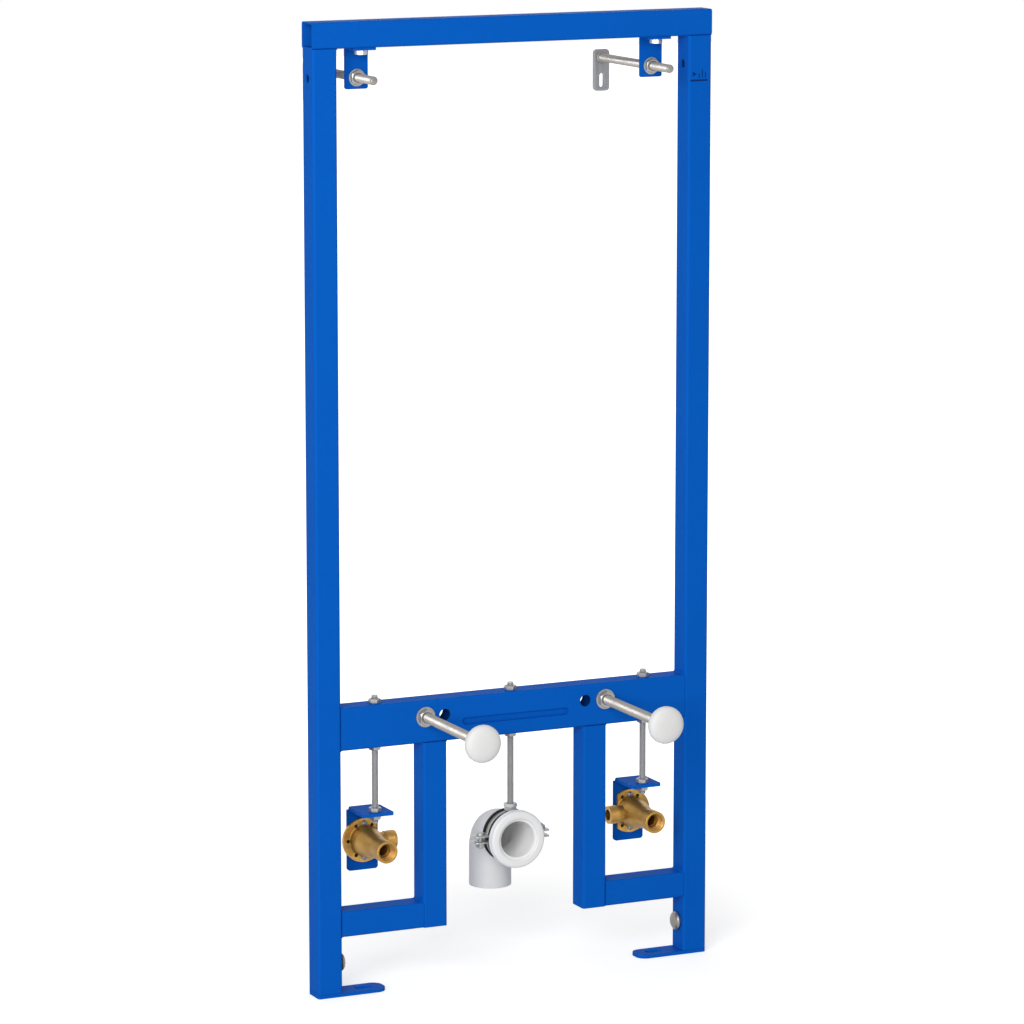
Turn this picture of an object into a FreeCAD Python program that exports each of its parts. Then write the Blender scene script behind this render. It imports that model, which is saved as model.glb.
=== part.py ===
import FreeCAD, Part

import math
import os
import re

import Sketcher

# Bidet installation frame in millimetres, +Z up, front towards -Y.
# The origin is under the left foot, on the left leg's axis.

SIZES = {
    # Steel tubes
    "frame_width": 500,
    "frame_height": 1120,
    "tube_size": 30,
    "tube_wall": 2,
    "tube_corner": 3,
    "least_corner": 0.5,
    "crossbar_height": 50,
    "crossbar_rise": 19,
    "inner_leg_spacing": 205,
    "lower_rail_bottom": 70,
    "level_hole_drop": 63,
    "level_hole_width": 10,
    # Crossbar holes and the pressed groove in its front
    "spare_hole_spacing": 180,
    "fixing_spacing": 230,
    "fixing_height": 320,
    "fixing_hole": 13,
    "spare_hole": 14,
    "spare_hole_back": 21,
    "hanger_spacing": 344,
    "hanger_hole": 9,
    "groove_length": 136,
    "groove_width": 8.6,
    "groove_depth": 3.5,
    "groove_drop": 10,
    # Sliding feet
    "foot_plate_thickness": 4,
    "foot_reach": 57,
    "foot_end_corner": 12,
    "foot_heel_corner": 3,
    "foot_gap": 0.3,
    "slide_clearance": 0.5,
    "foot_tube_wall": 2,
    "foot_tube_corner": 2.5,
    "foot_tube_length": 286,
    "foot_travel": 200,
    "foot_slot_width": 9,
    "floor_slot_length": 22,
    "floor_slot_width": 11,
    "floor_slot_reach": 32,
    # Clamp bolts
    "clamp_height": 38,
    "clamp_head_width": 22,
    "clamp_head_height": 8,
    "clamp_collar_width": 15,
    "clamp_collar_height": 2.5,
    "clamp_nut_clearance": 0.4,
    "clamp_rim_round": 0.5,
    "clamp_shoulder_round": 2,
    "clamp_crown_round": 5,
    # Threaded parts
    "small_rod_width": 8,
    "small_nut_flats": 13,
    "small_nut_height": 5,
    "anchor_rod_width": 10,
    "anchor_nut_flats": 16,
    "anchor_nut_height": 5,
    "anchor_washer_width": 20,
    "anchor_washer_thickness": 2,
    "fixing_rod_width": 12,
    "fixing_nut_flats": 18,
    "fixing_nut_height": 6,
    "fixing_washer_width": 24,
    "fixing_washer_thickness": 2.5,
    "thread_clearance": 0.1,
    "thread_tail": 4,
    "rod_chamfer": 1,
    "nut_trim_margin": 1,
    # Brackets under the top rail
    "wall_bracket_inset": 50,
    "wall_bracket_width": 28,
    "wall_bracket_height": 48,
    "wall_bracket_reach": 26,
    "wall_bracket_thickness": 3,
    "wall_bracket_corner": 2.5,
    "wall_bracket_hole": 11,
    "bend_radius": 4,
    "bolt_head_flats": 13,
    "bolt_head_height": 5.5,
    # Wall anchors
    "anchor_drop": 35,
    "anchor_front_reach": 50,
    "wall_plane": 145,
    "wall_plate_thickness": 5,
    "wall_plate_width": 20,
    "wall_plate_height": 49,
    "wall_plate_rise": 9.5,
    "wall_plate_corner": 4.5,
    "wall_slot_length": 16.5,
    "wall_slot_width": 6,
    "wall_slot_drop": 27,
    # Fixing rods and their caps
    "cap_middle": 172,
    "cap_width": 44,
    "cap_thickness": 18,
    "cap_face_round": 20,
    "cap_shoulder_round": 6,
    "cap_rim_round": 5,
    "fixing_tail": 5,
    # Tap brackets on the outer hanger rods
    "tap_bracket_width": 38,
    "tap_bracket_rise": 41,
    "tap_bracket_height": 77,
    "tap_bracket_front": 36,
    "tap_bracket_reach": 51,
    "tap_bracket_thickness": 4,
    "tap_bracket_corner": 3.5,
    "tap_bracket_nose_corner": 1.5,
    "tap_bracket_bend_inside": 1,
    "tap_bracket_relief": 4.5,
    "hanger_tail": 4.5,
    # Brass tap fittings
    "tap_height": 170,
    "tap_flange_width": 52,
    "tap_flange_thickness": 4,
    "tap_flange_flat": 16,
    "tap_hole_circle": 40,
    "tap_hole_width": 4.4,
    "tap_body_width": 35,
    "tap_body_length": 15,
    "tap_body_round": 9,
    "tap_body_blend": 2,
    "tap_neck_width": 25,
    "tap_neck_length": 12,
    "tap_neck_round": 14,
    "tap_mouth_reach": 71,
    "tap_mouth_width": 26,
    "tap_mouth_length": 13,
    "tap_mouth_step": 1.5,
    "tap_mouth_round": 0.8,
    "tap_mouth_chamfer": 1.2,
    "tap_mouth_bore": 19,
    "tap_mouth_bore_depth": 16,
    "tap_water_bore": 14,
    "tap_outlet_bore": 13,
    "tap_outlet_place": 13.5,
    "tap_outlet_reach": 34,
    "tap_outlet_width": 21,
    "tap_outlet_neck_width": 19.6,
    "tap_outlet_thread": 13,
    "tap_screw_width": 4,
    "tap_screw_head_width": 7,
    "tap_screw_head_height": 2.8,
    "tap_screw_rim_round": 0.5,
    "tap_screw_crown_round": 1.5,
    "tap_screw_seat_clearance": 0.5,
    "tap_screw_tail": 2,
    # Waste bend and collar
    "waste_height": 164.5,
    "waste_pipe_width": 50,
    "waste_pipe_wall": 3,
    "waste_bend_radius": 27,
    "waste_drop_place": 56,
    "waste_outlet_height": 94,
    "waste_socket_width": 55,
    "waste_socket_start": 11.6,
    "waste_socket_end": 24,
    "waste_mouth_reach": 23.5,
    "collar_width": 68,
    "collar_length": 11,
    "collar_lip": 4,
    "collar_bore": 49,
    "collar_corner": 3,
    "collar_mouth_round": 1,
    "seat_clearance": 0.1,
    # Lined pipe clamp
    "lining_thickness": 3,
    "lining_half_length": 10,
    "lining_lip": 1.4,
    "lining_lip_start": 5.2,
    "lining_round": 0.8,
    "lining_cut_margin": 1,
    "band_thickness": 2,
    "band_half_length": 8.2,
    "ear_reach": 45,
    "ear_gap": 5,
    "ear_corner": 4,
    "clamp_screw_place": 38.5,
    "clamp_screw_width": 6,
    "clamp_screw_head_width": 10,
    "clamp_screw_head_height": 3.5,
    "clamp_screw_nut_flats": 10,
    "clamp_screw_nut_height": 5,
    "clamp_screw_round": 1,
    "clamp_screw_tail": 2,
    "boss_flats": 14,
    "boss_sink": 1.3,
    "rod_end_gap": 0.8,
    "rod_end_clearance": 0.3,
    "boss_rise": 39.5,
}

PLACES = {
    "leg_spacing": "frame_width - tube_size",
    "centre": "leg_spacing / 2",
    "half_tube": "tube_size / 2",
    "leg_bottom": "foot_plate_thickness + foot_gap",
    "rail_underside": "frame_height - tube_size",
    "crossbar_top": "fixing_height + crossbar_rise",
    "crossbar_bottom": "crossbar_top - crossbar_height",
    "groove_height": "fixing_height - groove_drop",
    "clear_width": "frame_width - 2 * tube_size",
    "lower_rail_length": "(clear_width - inner_leg_spacing - tube_size) / 2",
    "foot_tube_size": "tube_size - 2 * tube_wall - 2 * slide_clearance",
    "small_rod_radius": "small_rod_width / 2",
    "clamp_head_radius": "clamp_head_width / 2",
    "clamp_shoulder_radius": "0.9 * clamp_head_radius",
    "clamp_shoulder_height": "0.62 * clamp_head_height",
    "clamp_crown_radius": "0.45 * clamp_head_radius",
    "cap_radius": "cap_width / 2",
    "cap_half": "cap_thickness / 2",
    "cap_shoulder_radius": "0.93 * cap_radius",
    "cap_shoulder_half": "0.62 * cap_half",
    "cap_face_radius": "0.55 * cap_radius",
    "wall_bracket_back": "half_tube",
    "wall_bracket_front": "half_tube - wall_bracket_thickness",
    "wall_bracket_spacing": "leg_spacing - 2 * wall_bracket_inset",
    "level_hole_height": "frame_height - level_hole_drop",
    "anchor_height": "rail_underside - anchor_drop",
    "wall_plate_top": "anchor_height + wall_plate_rise",
    "wall_slot_height": "anchor_height - wall_slot_drop",
    "wall_plate_front": "wall_plane - wall_plate_thickness",
    "tap_bracket_top": "tap_height + tap_bracket_rise",
    "tap_bracket_back": "tap_bracket_front + tap_bracket_thickness",
    "tap_bracket_underside": "tap_bracket_top - tap_bracket_thickness",
    "tap_bracket_bend": "tap_bracket_bend_inside + tap_bracket_thickness",
    "tap_relief_inner": "tap_bracket_width / 2 - 0.6 * tap_bracket_relief",
    "tap_relief_outer": "0.55 * tap_bracket_width",
    "tap_mouth_start": "tap_mouth_reach - tap_mouth_length",
    "tap_mouth_radius": "tap_mouth_width / 2",
    "tap_mouth_bore_radius": "tap_mouth_bore / 2",
    "tap_screw_rim_height": "0.4 * tap_screw_head_height",
    "tap_screw_crown_radius": "0.3 * tap_screw_head_width",
    "waste_radius": "waste_pipe_width / 2",
    "lining_inside": "waste_radius + seat_clearance",
    "band_inside": "lining_inside + lining_thickness + seat_clearance",
    "band_outside": "band_inside + band_thickness",
    "ear_bottom": "ear_gap / 2",
    "ear_top": "ear_gap / 2 + band_thickness",
    "boss_seat": "band_outside - boss_sink",
    "boss_rod_end": "band_outside + rod_end_gap",
    "clamp_screw_rim_height": "ear_top + 0.5 * clamp_screw_head_height",
    "clamp_screw_head_top": "ear_top + clamp_screw_head_height",
    "clamp_screw_crown_radius": "0.3 * clamp_screw_head_width",
}

SIDES = (("left", -1), ("right", 1))

doc = FreeCAD.newDocument("BidetFrame")
names = {}
nodes = []
cuts = []


def fill_sheet(label, rows, formulas):
    """Write named cells, one to a row: its name in column A, its value in column B."""
    sheet = doc.addObject("Spreadsheet::Sheet", label)
    for row, (name, value) in enumerate(rows.items(), start=1):
        sheet.set(f"A{row}", name)
        sheet.set(f"B{row}", "=" + bound(value) if formulas else str(value))
        sheet.setAlias(f"B{row}", name)
        names[name] = f"{label}.{name}"
    doc.recompute()
    return sheet


def bound(text):
    """Give each size named in an expression the sheet that holds it."""
    return re.sub(r"[A-Za-z_]\w*", lambda word: names.get(word.group(0), word.group(0)), str(text))


def number(text):
    """The present value of an expression."""
    return float(sizes.evalExpression(bound(text)))


def across(sign, spacing):
    """The X of one of a pair, set about the frame's centre line."""
    return f"centre + ({sign}) * ({spacing}) / 2"


def new_body(label):
    body = doc.addObject("PartDesign::Body", label)
    body.Label = label
    return body


def new_sketch(body, role, offset="0"):
    """A sketch on one of the body's own planes, moved along the plane's normal."""
    sketch = body.newObject("Sketcher::SketchObject", body.Label + "_sketch")
    plane = next(item for item in body.Origin.OriginFeatures if item.Role == role)
    sketch.AttachmentSupport = [(plane, "")]
    sketch.MapMode = "FlatFace"
    sketch.setExpression("AttachmentOffset.Base.z", bound(offset))
    return sketch


def fix(sketch, kind, *where):
    """Add a dimension whose last value is an expression, and bind it."""
    *where, text = where
    index = sketch.addConstraint(Sketcher.Constraint(kind, *where, number(text)))
    sketch.setExpression(f"Constraints[{index}]", bound(text))


def fix_point(sketch, geometry, position, across_text, up_text):
    fix(sketch, "DistanceX", -1, 1, geometry, position, across_text)
    fix(sketch, "DistanceY", -1, 1, geometry, position, up_text)


def relate(sketch, kind, *where):
    sketch.addConstraint(Sketcher.Constraint(kind, *where))


def add_circle(sketch, diameter, across_text="0", up_text="0"):
    middle = FreeCAD.Vector(number(across_text), number(up_text), 0)
    circle = Part.Circle(middle, FreeCAD.Vector(0, 0, 1), number(diameter) / 2)
    index = sketch.addGeometry(circle, False)
    fix_point(sketch, index, 3, across_text, up_text)
    fix(sketch, "Diameter", index, diameter)


def add_outline(sketch, corners):
    """A closed outline through (across, up) corners; a third value rounds the corner."""
    points = [FreeCAD.Vector(number(corner[0]), number(corner[1]), 0) for corner in corners]
    radii = [number(corner[2]) if len(corner) > 2 else 0 for corner in corners]
    count = len(corners)
    enters, leaves, arcs = [], [], {}
    for index, point in enumerate(points):
        back = (points[index - 1] - point).normalize()
        ahead = (points[(index + 1) % count] - point).normalize()
        if radii[index] == 0:
            enters.append(point)
            leaves.append(point)
            continue
        half_angle = back.getAngle(ahead) / 2
        trim = radii[index] / math.tan(half_angle)
        enters.append(point + back * trim)
        leaves.append(point + ahead * trim)
        middle = point + (back + ahead).normalize() * (radii[index] / math.sin(half_angle))
        turns_left = (-back).cross(ahead).z > 0
        first, last = (enters[-1], leaves[-1]) if turns_left else (leaves[-1], enters[-1])
        angles = [math.atan2(end.y - middle.y, end.x - middle.x) for end in (first, last)]
        circle = Part.Circle(middle, FreeCAD.Vector(0, 0, 1), radii[index])
        arc = sketch.addGeometry(Part.ArcOfCircle(circle, *angles), False)
        arcs[index] = (arc, 1 if turns_left else 2, 2 if turns_left else 1)
    lines = []
    for index in range(count):
        end = enters[(index + 1) % count]
        lines.append(sketch.addGeometry(Part.LineSegment(leaves[index], end), False))
    for index, corner in enumerate(corners):
        before, after = lines[index - 1], lines[index]
        if index not in arcs:
            relate(sketch, "Coincident", before, 2, after, 1)
            fix_point(sketch, after, 1, corner[0], corner[1])
            continue
        arc, enter_end, leave_end = arcs[index]
        mark = sketch.addGeometry(Part.Point(points[index]), True)
        relate(sketch, "Tangent", before, 2, arc, enter_end)
        relate(sketch, "Tangent", after, 1, arc, leave_end)
        fix(sketch, "Radius", arc, corner[2])
        relate(sketch, "PointOnObject", mark, 1, before)
        relate(sketch, "PointOnObject", mark, 1, after)
        fix_point(sketch, mark, 1, corner[0], corner[1])


def add_rectangle(sketch, left, right, bottom, top, radius="0"):
    corners = [(left, bottom), (right, bottom), (right, top), (left, top)]
    if number(radius) > 0:
        corners = [corner + (radius,) for corner in corners]
    add_outline(sketch, corners)


def add_square(sketch, width, height, radius):
    add_rectangle(sketch, f"-({width}) / 2", f"({width}) / 2", f"-({height}) / 2", f"({height}) / 2", radius)


def add_hexagon(sketch, flats):
    corner = f"({flats}) / sqrt(3)"
    half = f"({flats}) / 2"
    add_outline(sketch, [
        (corner, "0"), (f"{corner} / 2", half), (f"-{corner} / 2", half),
        (f"-{corner}", "0"), (f"-{corner} / 2", f"-{half}"), (f"{corner} / 2", f"-{half}"),
    ])


def add_oblong(sketch, length, width, across_text, up_text, upright):
    """A slot with round ends, along the sketch's vertical or horizontal."""
    shift = f"(({length}) - ({width})) / 2"
    if upright:
        ends = [(across_text, f"{up_text} - {shift}"), (across_text, f"{up_text} + {shift}")]
        start = math.pi
    else:
        ends = [(f"{across_text} + {shift}", up_text), (f"{across_text} - {shift}", up_text)]
        start = -math.pi / 2
    radius = number(width) / 2
    arcs = []
    for turn, end in enumerate(ends):
        middle = FreeCAD.Vector(number(end[0]), number(end[1]), 0)
        circle = Part.Circle(middle, FreeCAD.Vector(0, 0, 1), radius)
        angle = start + turn * math.pi
        arcs.append(sketch.addGeometry(Part.ArcOfCircle(circle, angle, angle + math.pi), False))
        fix_point(sketch, arcs[-1], 3, *end)
    ends_of = [sketch.Geometry[arc] for arc in arcs]
    for first, second in ((0, 1), (1, 0)):
        side = Part.LineSegment(ends_of[first].EndPoint, ends_of[second].StartPoint)
        line = sketch.addGeometry(side, False)
        relate(sketch, "Tangent", arcs[first], 2, line, 1)
        relate(sketch, "Tangent", line, 2, arcs[second], 1)
    fix(sketch, "Diameter", arcs[0], width)


def add_flatted_disc(sketch, diameter, flat, sign):
    """A disc with one side cut straight."""
    radius = number(diameter) / 2
    reach = number(flat)
    half_angle = math.acos(reach / radius)
    turn = 0 if sign > 0 else math.pi
    circle = Part.Circle(FreeCAD.Vector(), FreeCAD.Vector(0, 0, 1), radius)
    rim = Part.ArcOfCircle(circle, turn + half_angle, turn + 2 * math.pi - half_angle)
    arc = sketch.addGeometry(rim, False)
    chord = sketch.addGeometry(Part.LineSegment(rim.EndPoint, rim.StartPoint), False)
    relate(sketch, "Coincident", arc, 2, chord, 1)
    relate(sketch, "Coincident", chord, 2, arc, 1)
    relate(sketch, "Coincident", arc, 3, -1, 1)
    relate(sketch, "Vertical", chord)
    fix(sketch, "Diameter", arc, diameter)
    fix(sketch, "DistanceX", -1, 1, chord, 1, f"({sign}) * ({flat})")


def pad(sketch, length, flip=False, both=False):
    """Raise a sketch along its normal, against it, or half to each side."""
    body = sketch.getParentGeoFeatureGroup()
    feature = body.newObject("PartDesign::Pad", body.Label + "_pad")
    feature.Profile = sketch
    feature.SideType = "Symmetric" if both else "One side"
    feature.Reversed = flip
    feature.setExpression("Length", bound(length))
    return feature


def pocket(sketch, length, flip=False, both=False):
    """Cut a sketch against its normal, along it, or half to each side."""
    body = sketch.getParentGeoFeatureGroup()
    feature = body.newObject("PartDesign::Pocket", body.Label + "_pocket")
    feature.Profile = sketch
    feature.SideType = "Symmetric" if both else "One side"
    feature.Reversed = flip
    feature.setExpression("Length", bound(length))
    cuts.append(feature)
    return feature


def turn(sketch, cut=False, axis="V_Axis"):
    """Turn a sketch once round one of its own axes."""
    body = sketch.getParentGeoFeatureGroup()
    kind = "Groove" if cut else "Revolution"
    feature = body.newObject("PartDesign::" + kind, body.Label + "_" + kind.lower())
    feature.Profile = sketch
    feature.ReferenceAxis = (sketch, [axis])
    feature.Angle = 360
    if cut:
        cuts.append(feature)
    return feature


def fillet(body, radius, wanted):
    """Round the edges of the last feature whose middle and direction suit the test."""
    doc.recompute()
    base = body.Tip
    picked = []
    for index, edge in enumerate(base.Shape.Edges, start=1):
        middle = edge.valueAt((edge.FirstParameter + edge.LastParameter) / 2)
        along = edge.tangentAt((edge.FirstParameter + edge.LastParameter) / 2)
        if wanted(middle, along):
            picked.append(f"Edge{index}")
    feature = body.newObject("PartDesign::Fillet", body.Label + "_fillet")
    feature.Base = (base, picked)
    feature.setExpression("Radius", bound(radius))
    return feature


def place(item, x="0", y="0", z="0", axis=None, angle=0):
    """Turn an object about an axis through its own origin, then move it."""
    if axis is not None:
        item.Placement = FreeCAD.Placement(FreeCAD.Vector(), FreeCAD.Rotation(axis, angle))
    for name, text in (("x", x), ("y", y), ("z", z)):
        item.setExpression(f"Placement.Base.{name}", bound(text))
    return item


def keep(item):
    """Hand an object in as a node."""
    nodes.append(item)
    return item


def gather(label, items):
    """Several like pieces in one node."""
    group = doc.addObject("Part::Compound", label)
    group.Label = label
    group.Links = items
    return keep(group)


ALONG_BACK = (FreeCAD.Vector(1, 0, 0), -90)
ALONG_FRONT = (FreeCAD.Vector(1, 0, 0), 90)
DOWNWARDS = (FreeCAD.Vector(1, 0, 0), 180)
ABOUT = (FreeCAD.Vector(0, 0, 1), 180)


def upright_tube(label, length, size, wall, corner):
    body = new_body(label)
    section = new_sketch(body, "XY_Plane")
    add_square(section, size, size, corner)
    inside = f"{size} - 2 * {wall}"
    add_square(section, inside, inside, f"max({corner} - {wall}; least_corner)")
    pad(section, length)
    return body


def level_tube(label, length, height):
    body = new_body(label)
    section = new_sketch(body, "YZ_Plane")
    add_square(section, "tube_size", height, "tube_corner")
    inside = "tube_corner - tube_wall"
    add_square(section, "tube_size - 2 * tube_wall", f"{height} - 2 * tube_wall", inside)
    pad(section, length)
    return body


def make_top_rail():
    rail = level_tube("top_rail", "frame_width", "tube_size")
    holes = new_sketch(rail, "XY_Plane", "-half_tube")
    for _, sign in SIDES:
        add_circle(holes, "hanger_hole", f"frame_width / 2 + ({sign}) * wall_bracket_spacing / 2")
    pocket(holes, "2 * tube_wall", flip=True)
    keep(place(rail, "-half_tube", "0", "frame_height - half_tube"))


def make_leg(side, sign):
    length = "rail_underside - leg_bottom"
    leg = upright_tube(side + "_leg", length, "tube_size", "tube_wall", "tube_corner")
    level_hole = new_sketch(leg, "YZ_Plane")
    add_circle(level_hole, "level_hole_width", "0", "level_hole_height - leg_bottom")
    pocket(level_hole, "2 * tube_size", both=True)
    clamp_hole = new_sketch(leg, "YZ_Plane", f"({-sign}) * half_tube")
    add_circle(clamp_hole, "hanger_hole", "0", "clamp_height - leg_bottom")
    pocket(clamp_hole, "2 * tube_wall", flip=sign > 0)
    keep(place(leg, across(sign, "leg_spacing"), "0", "leg_bottom"))


def make_crossbar():
    bar = level_tube("crossbar", "clear_width", "crossbar_height")
    middle = "clear_width / 2"
    level = "crossbar_bottom + crossbar_height / 2"
    shell = "tube_wall + groove_depth"
    pressed = new_sketch(bar, "XZ_Plane", "half_tube")
    wide = "groove_length + 2 * tube_wall"
    tall = "groove_width + 2 * tube_wall"
    add_oblong(pressed, wide, tall, middle, f"groove_height - ({level})", False)
    pad(pressed, shell, flip=True)
    groove = new_sketch(bar, "XZ_Plane", "half_tube")
    add_oblong(groove, "groove_length", "groove_width", middle, f"groove_height - ({level})", False)
    pocket(groove, "groove_depth")
    fixing_holes = new_sketch(bar, "XZ_Plane")
    wide_backs = new_sketch(bar, "XZ_Plane", "-half_tube")
    for _, sign in SIDES:
        for sketch, spacing, hole in (
            (fixing_holes, "fixing_spacing", "fixing_hole"), (fixing_holes, "spare_hole_spacing", "spare_hole"),
            (wide_backs, "spare_hole_spacing", "spare_hole_back"),
        ):
            place_of = f"{middle} + ({sign}) * {spacing} / 2"
            add_circle(sketch, hole, place_of, f"fixing_height - ({level})")
    pocket(fixing_holes, "2 * tube_size", both=True)
    pocket(wide_backs, "2 * tube_wall", flip=True)
    hanger_holes = new_sketch(bar, "XY_Plane")
    for sign in (-1, 0, 1):
        add_circle(hanger_holes, "hanger_hole", f"{middle} + ({sign}) * hanger_spacing / 2", "0")
    pocket(hanger_holes, "2 * crossbar_height", both=True)
    keep(place(bar, "half_tube", "0", level))


def make_inner_leg(side, sign):
    length = "crossbar_bottom - lower_rail_bottom"
    leg = upright_tube(side + "_inner_leg", length, "tube_size", "tube_wall", "tube_corner")
    keep(place(leg, across(sign, "inner_leg_spacing"), "0", "lower_rail_bottom"))


def make_lower_rail(side, sign):
    rail = level_tube(side + "_lower_rail", "lower_rail_length", "tube_size")
    start = "half_tube" if sign < 0 else across(1, "inner_leg_spacing + tube_size")
    keep(place(rail, start, "0", "lower_rail_bottom + half_tube"))


def make_foot(side, sign):
    """The floor plate with its upright tube, slotted on the side that faces the centre line."""
    section = ("foot_tube_size", "foot_tube_wall", "foot_tube_corner")
    foot = upright_tube(side + "_foot", "foot_tube_length", *section)
    plate = new_sketch(foot, "XY_Plane")
    heel, toe = "-half_tube", "half_tube + foot_reach"
    add_outline(plate, [
        (heel, "-half_tube", "foot_heel_corner"), (toe, "-half_tube", "foot_end_corner"),
        (toe, "half_tube", "foot_end_corner"), (heel, "half_tube", "foot_heel_corner"),
    ])
    pad(plate, "foot_plate_thickness", flip=True)
    floor_slot = new_sketch(foot, "XY_Plane")
    reach = "half_tube + floor_slot_reach"
    add_oblong(floor_slot, "floor_slot_length", "floor_slot_width", reach, "0", False)
    pocket(floor_slot, "2 * foot_plate_thickness")
    clamp_slot = new_sketch(foot, "YZ_Plane")
    start = "clamp_height - foot_plate_thickness"
    middle = f"{start} + foot_travel / 2"
    add_oblong(clamp_slot, "foot_travel + foot_slot_width", "foot_slot_width", "0", middle, True)
    pocket(clamp_slot, "foot_tube_size", flip=True)
    place(foot, across(sign, "leg_spacing"), "0", "foot_plate_thickness", *(ABOUT if sign > 0 else ()))
    keep(foot)


def make_clamp_bolt(side, sign):
    """Mushroom head outside the leg, shank through its wall, nut inside the foot's tube."""
    bolt = new_body(side + "_clamp_bolt")
    nut_start = "tube_wall + slide_clearance + foot_tube_wall + clamp_nut_clearance"
    nut_end = f"{nut_start} + small_nut_height"
    profile = new_sketch(bolt, "XZ_Plane")
    tip = f"-({nut_end} + rod_chamfer)"
    add_outline(profile, [
        ("0", tip), ("small_rod_radius", tip), ("small_rod_radius", "0"), ("clamp_collar_width / 2", "0"),
        ("clamp_collar_width / 2", "clamp_collar_height"),
        ("clamp_head_radius", "clamp_collar_height", "clamp_rim_round"),
        ("clamp_shoulder_radius", "clamp_shoulder_height", "clamp_shoulder_round"),
        ("clamp_crown_radius", "clamp_head_height", "clamp_crown_round"), ("0", "clamp_head_height"),
    ])
    turn(profile)
    nut = new_sketch(bolt, "XY_Plane", f"-({nut_end})")
    add_hexagon(nut, "small_nut_flats")
    pad(nut, "small_nut_height")
    face = f"({-sign}) * half_tube"
    facing = (FreeCAD.Vector(0, 1, 0), -90 * sign)
    keep(place(bolt, f"{across(sign, 'leg_spacing')} + {face}", "0", "clamp_height", *facing))


def make_nut(label, rod, flats, height, washer="0", washer_thickness="0"):
    """A hexagon nut, on a washer where it has one, seated at its own origin and rising along +Z."""
    nut = new_body(label)
    hexagon = new_sketch(nut, "XY_Plane", washer_thickness)
    add_hexagon(hexagon, flats)
    pad(hexagon, height)
    if number(washer) > 0:
        disc = new_sketch(nut, "XY_Plane")
        add_circle(disc, washer)
        pad(disc, washer_thickness)
    trim = new_sketch(nut, "XZ_Plane")
    top = f"{washer_thickness} + {height}"
    reach = f"({flats}) / sqrt(3) + nut_trim_margin"
    fall = f"({reach} - ({flats}) / 2) / 2"
    add_outline(trim, [(f"({flats}) / 2", top), (reach, top), (reach, f"{top} - {fall}")])
    turn(trim, cut=True)
    bore = new_sketch(nut, "XY_Plane")
    add_circle(bore, f"{rod} + 2 * thread_clearance")
    pocket(bore, f"2 * ({top})", flip=True)
    return nut


def make_rod(label, width, length):
    """A threaded rod's plain outline, rising from its own origin."""
    rod = new_body(label)
    profile = new_sketch(rod, "XZ_Plane")
    radius = f"({width}) / 2"
    add_outline(profile, [
        ("0", "0"), (f"{radius} - rod_chamfer", "0"), (radius, "rod_chamfer"),
        (radius, f"{length} - rod_chamfer"), (f"{radius} - rod_chamfer", length), ("0", length),
    ])
    turn(profile)
    return rod


def make_wall_bracket(side, sign):
    """Bent plate: a flange under the rail, and an upright against the rail's back line."""
    bracket = new_body(side + "_wall_bracket")
    profile = new_sketch(bracket, "YZ_Plane")
    back, front = "wall_bracket_back", "wall_bracket_front"
    nose = "wall_bracket_back - wall_bracket_reach"
    add_outline(profile, [
        (nose, "0"), (nose, "-wall_bracket_thickness"),
        (front, "-wall_bracket_thickness", "bend_radius - wall_bracket_thickness"),
        (front, "-wall_bracket_height"), (back, "-wall_bracket_height"), (back, "0", "bend_radius"),
    ])
    pad(profile, "wall_bracket_width", both=True)
    rod_hole = new_sketch(bracket, "XZ_Plane")
    add_circle(rod_hole, "wall_bracket_hole", "0", "anchor_height - rail_underside")
    pocket(rod_hole, "2 * tube_size")
    bolt_hole = new_sketch(bracket, "XY_Plane")
    add_circle(bolt_hole, "hanger_hole")
    pocket(bolt_hole, "2 * wall_bracket_thickness")
    low = -number("wall_bracket_height")
    fillet(bracket, "wall_bracket_corner", lambda middle, along: abs(along.y) > 0.9 and middle.z < low + 0.1)
    keep(place(bracket, across(sign, "wall_bracket_spacing"), "0", "rail_underside"))


def make_bracket_bolt(side, sign):
    """Hexagon head under the flange, shank up through the rail's lower wall, nut inside the rail."""
    bolt = new_body(side + "_bracket_bolt")
    head = new_sketch(bolt, "XY_Plane")
    add_hexagon(head, "bolt_head_flats")
    pad(head, "bolt_head_height", flip=True)
    shank = new_sketch(bolt, "XY_Plane")
    nut_seat = "wall_bracket_thickness + tube_wall"
    add_circle(shank, "small_rod_width")
    pad(shank, f"{nut_seat} + small_nut_height + rod_chamfer")
    nut = new_sketch(bolt, "XY_Plane", nut_seat)
    add_hexagon(nut, "small_nut_flats")
    pad(nut, "small_nut_height")
    keep(place(bolt, across(sign, "wall_bracket_spacing"), "0", "rail_underside - wall_bracket_thickness"))


def make_wall_anchor(side, sign):
    """Slotted wall plate with the threaded rod welded to its front."""
    anchor = new_body(side + "_wall_anchor")
    plate = new_sketch(anchor, "XZ_Plane", "-wall_plate_front")
    half = "wall_plate_width / 2"
    low = "wall_plate_top - wall_plate_height"
    add_rectangle(plate, f"-{half}", half, low, "wall_plate_top", "wall_plate_corner")
    pad(plate, "wall_plate_thickness", flip=True)
    slot = new_sketch(anchor, "XZ_Plane", "-wall_plate_front")
    add_oblong(slot, "wall_slot_length", "wall_slot_width", "0", "wall_slot_height", True)
    pocket(slot, "2 * wall_plate_thickness")
    rod = new_sketch(anchor, "XZ_Plane", "-wall_plate_front")
    add_circle(rod, "anchor_rod_width", "0", "anchor_height")
    pad(rod, "wall_plate_front - wall_bracket_front + anchor_front_reach")
    keep(place(anchor, across(sign, "wall_bracket_spacing")))


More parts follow.
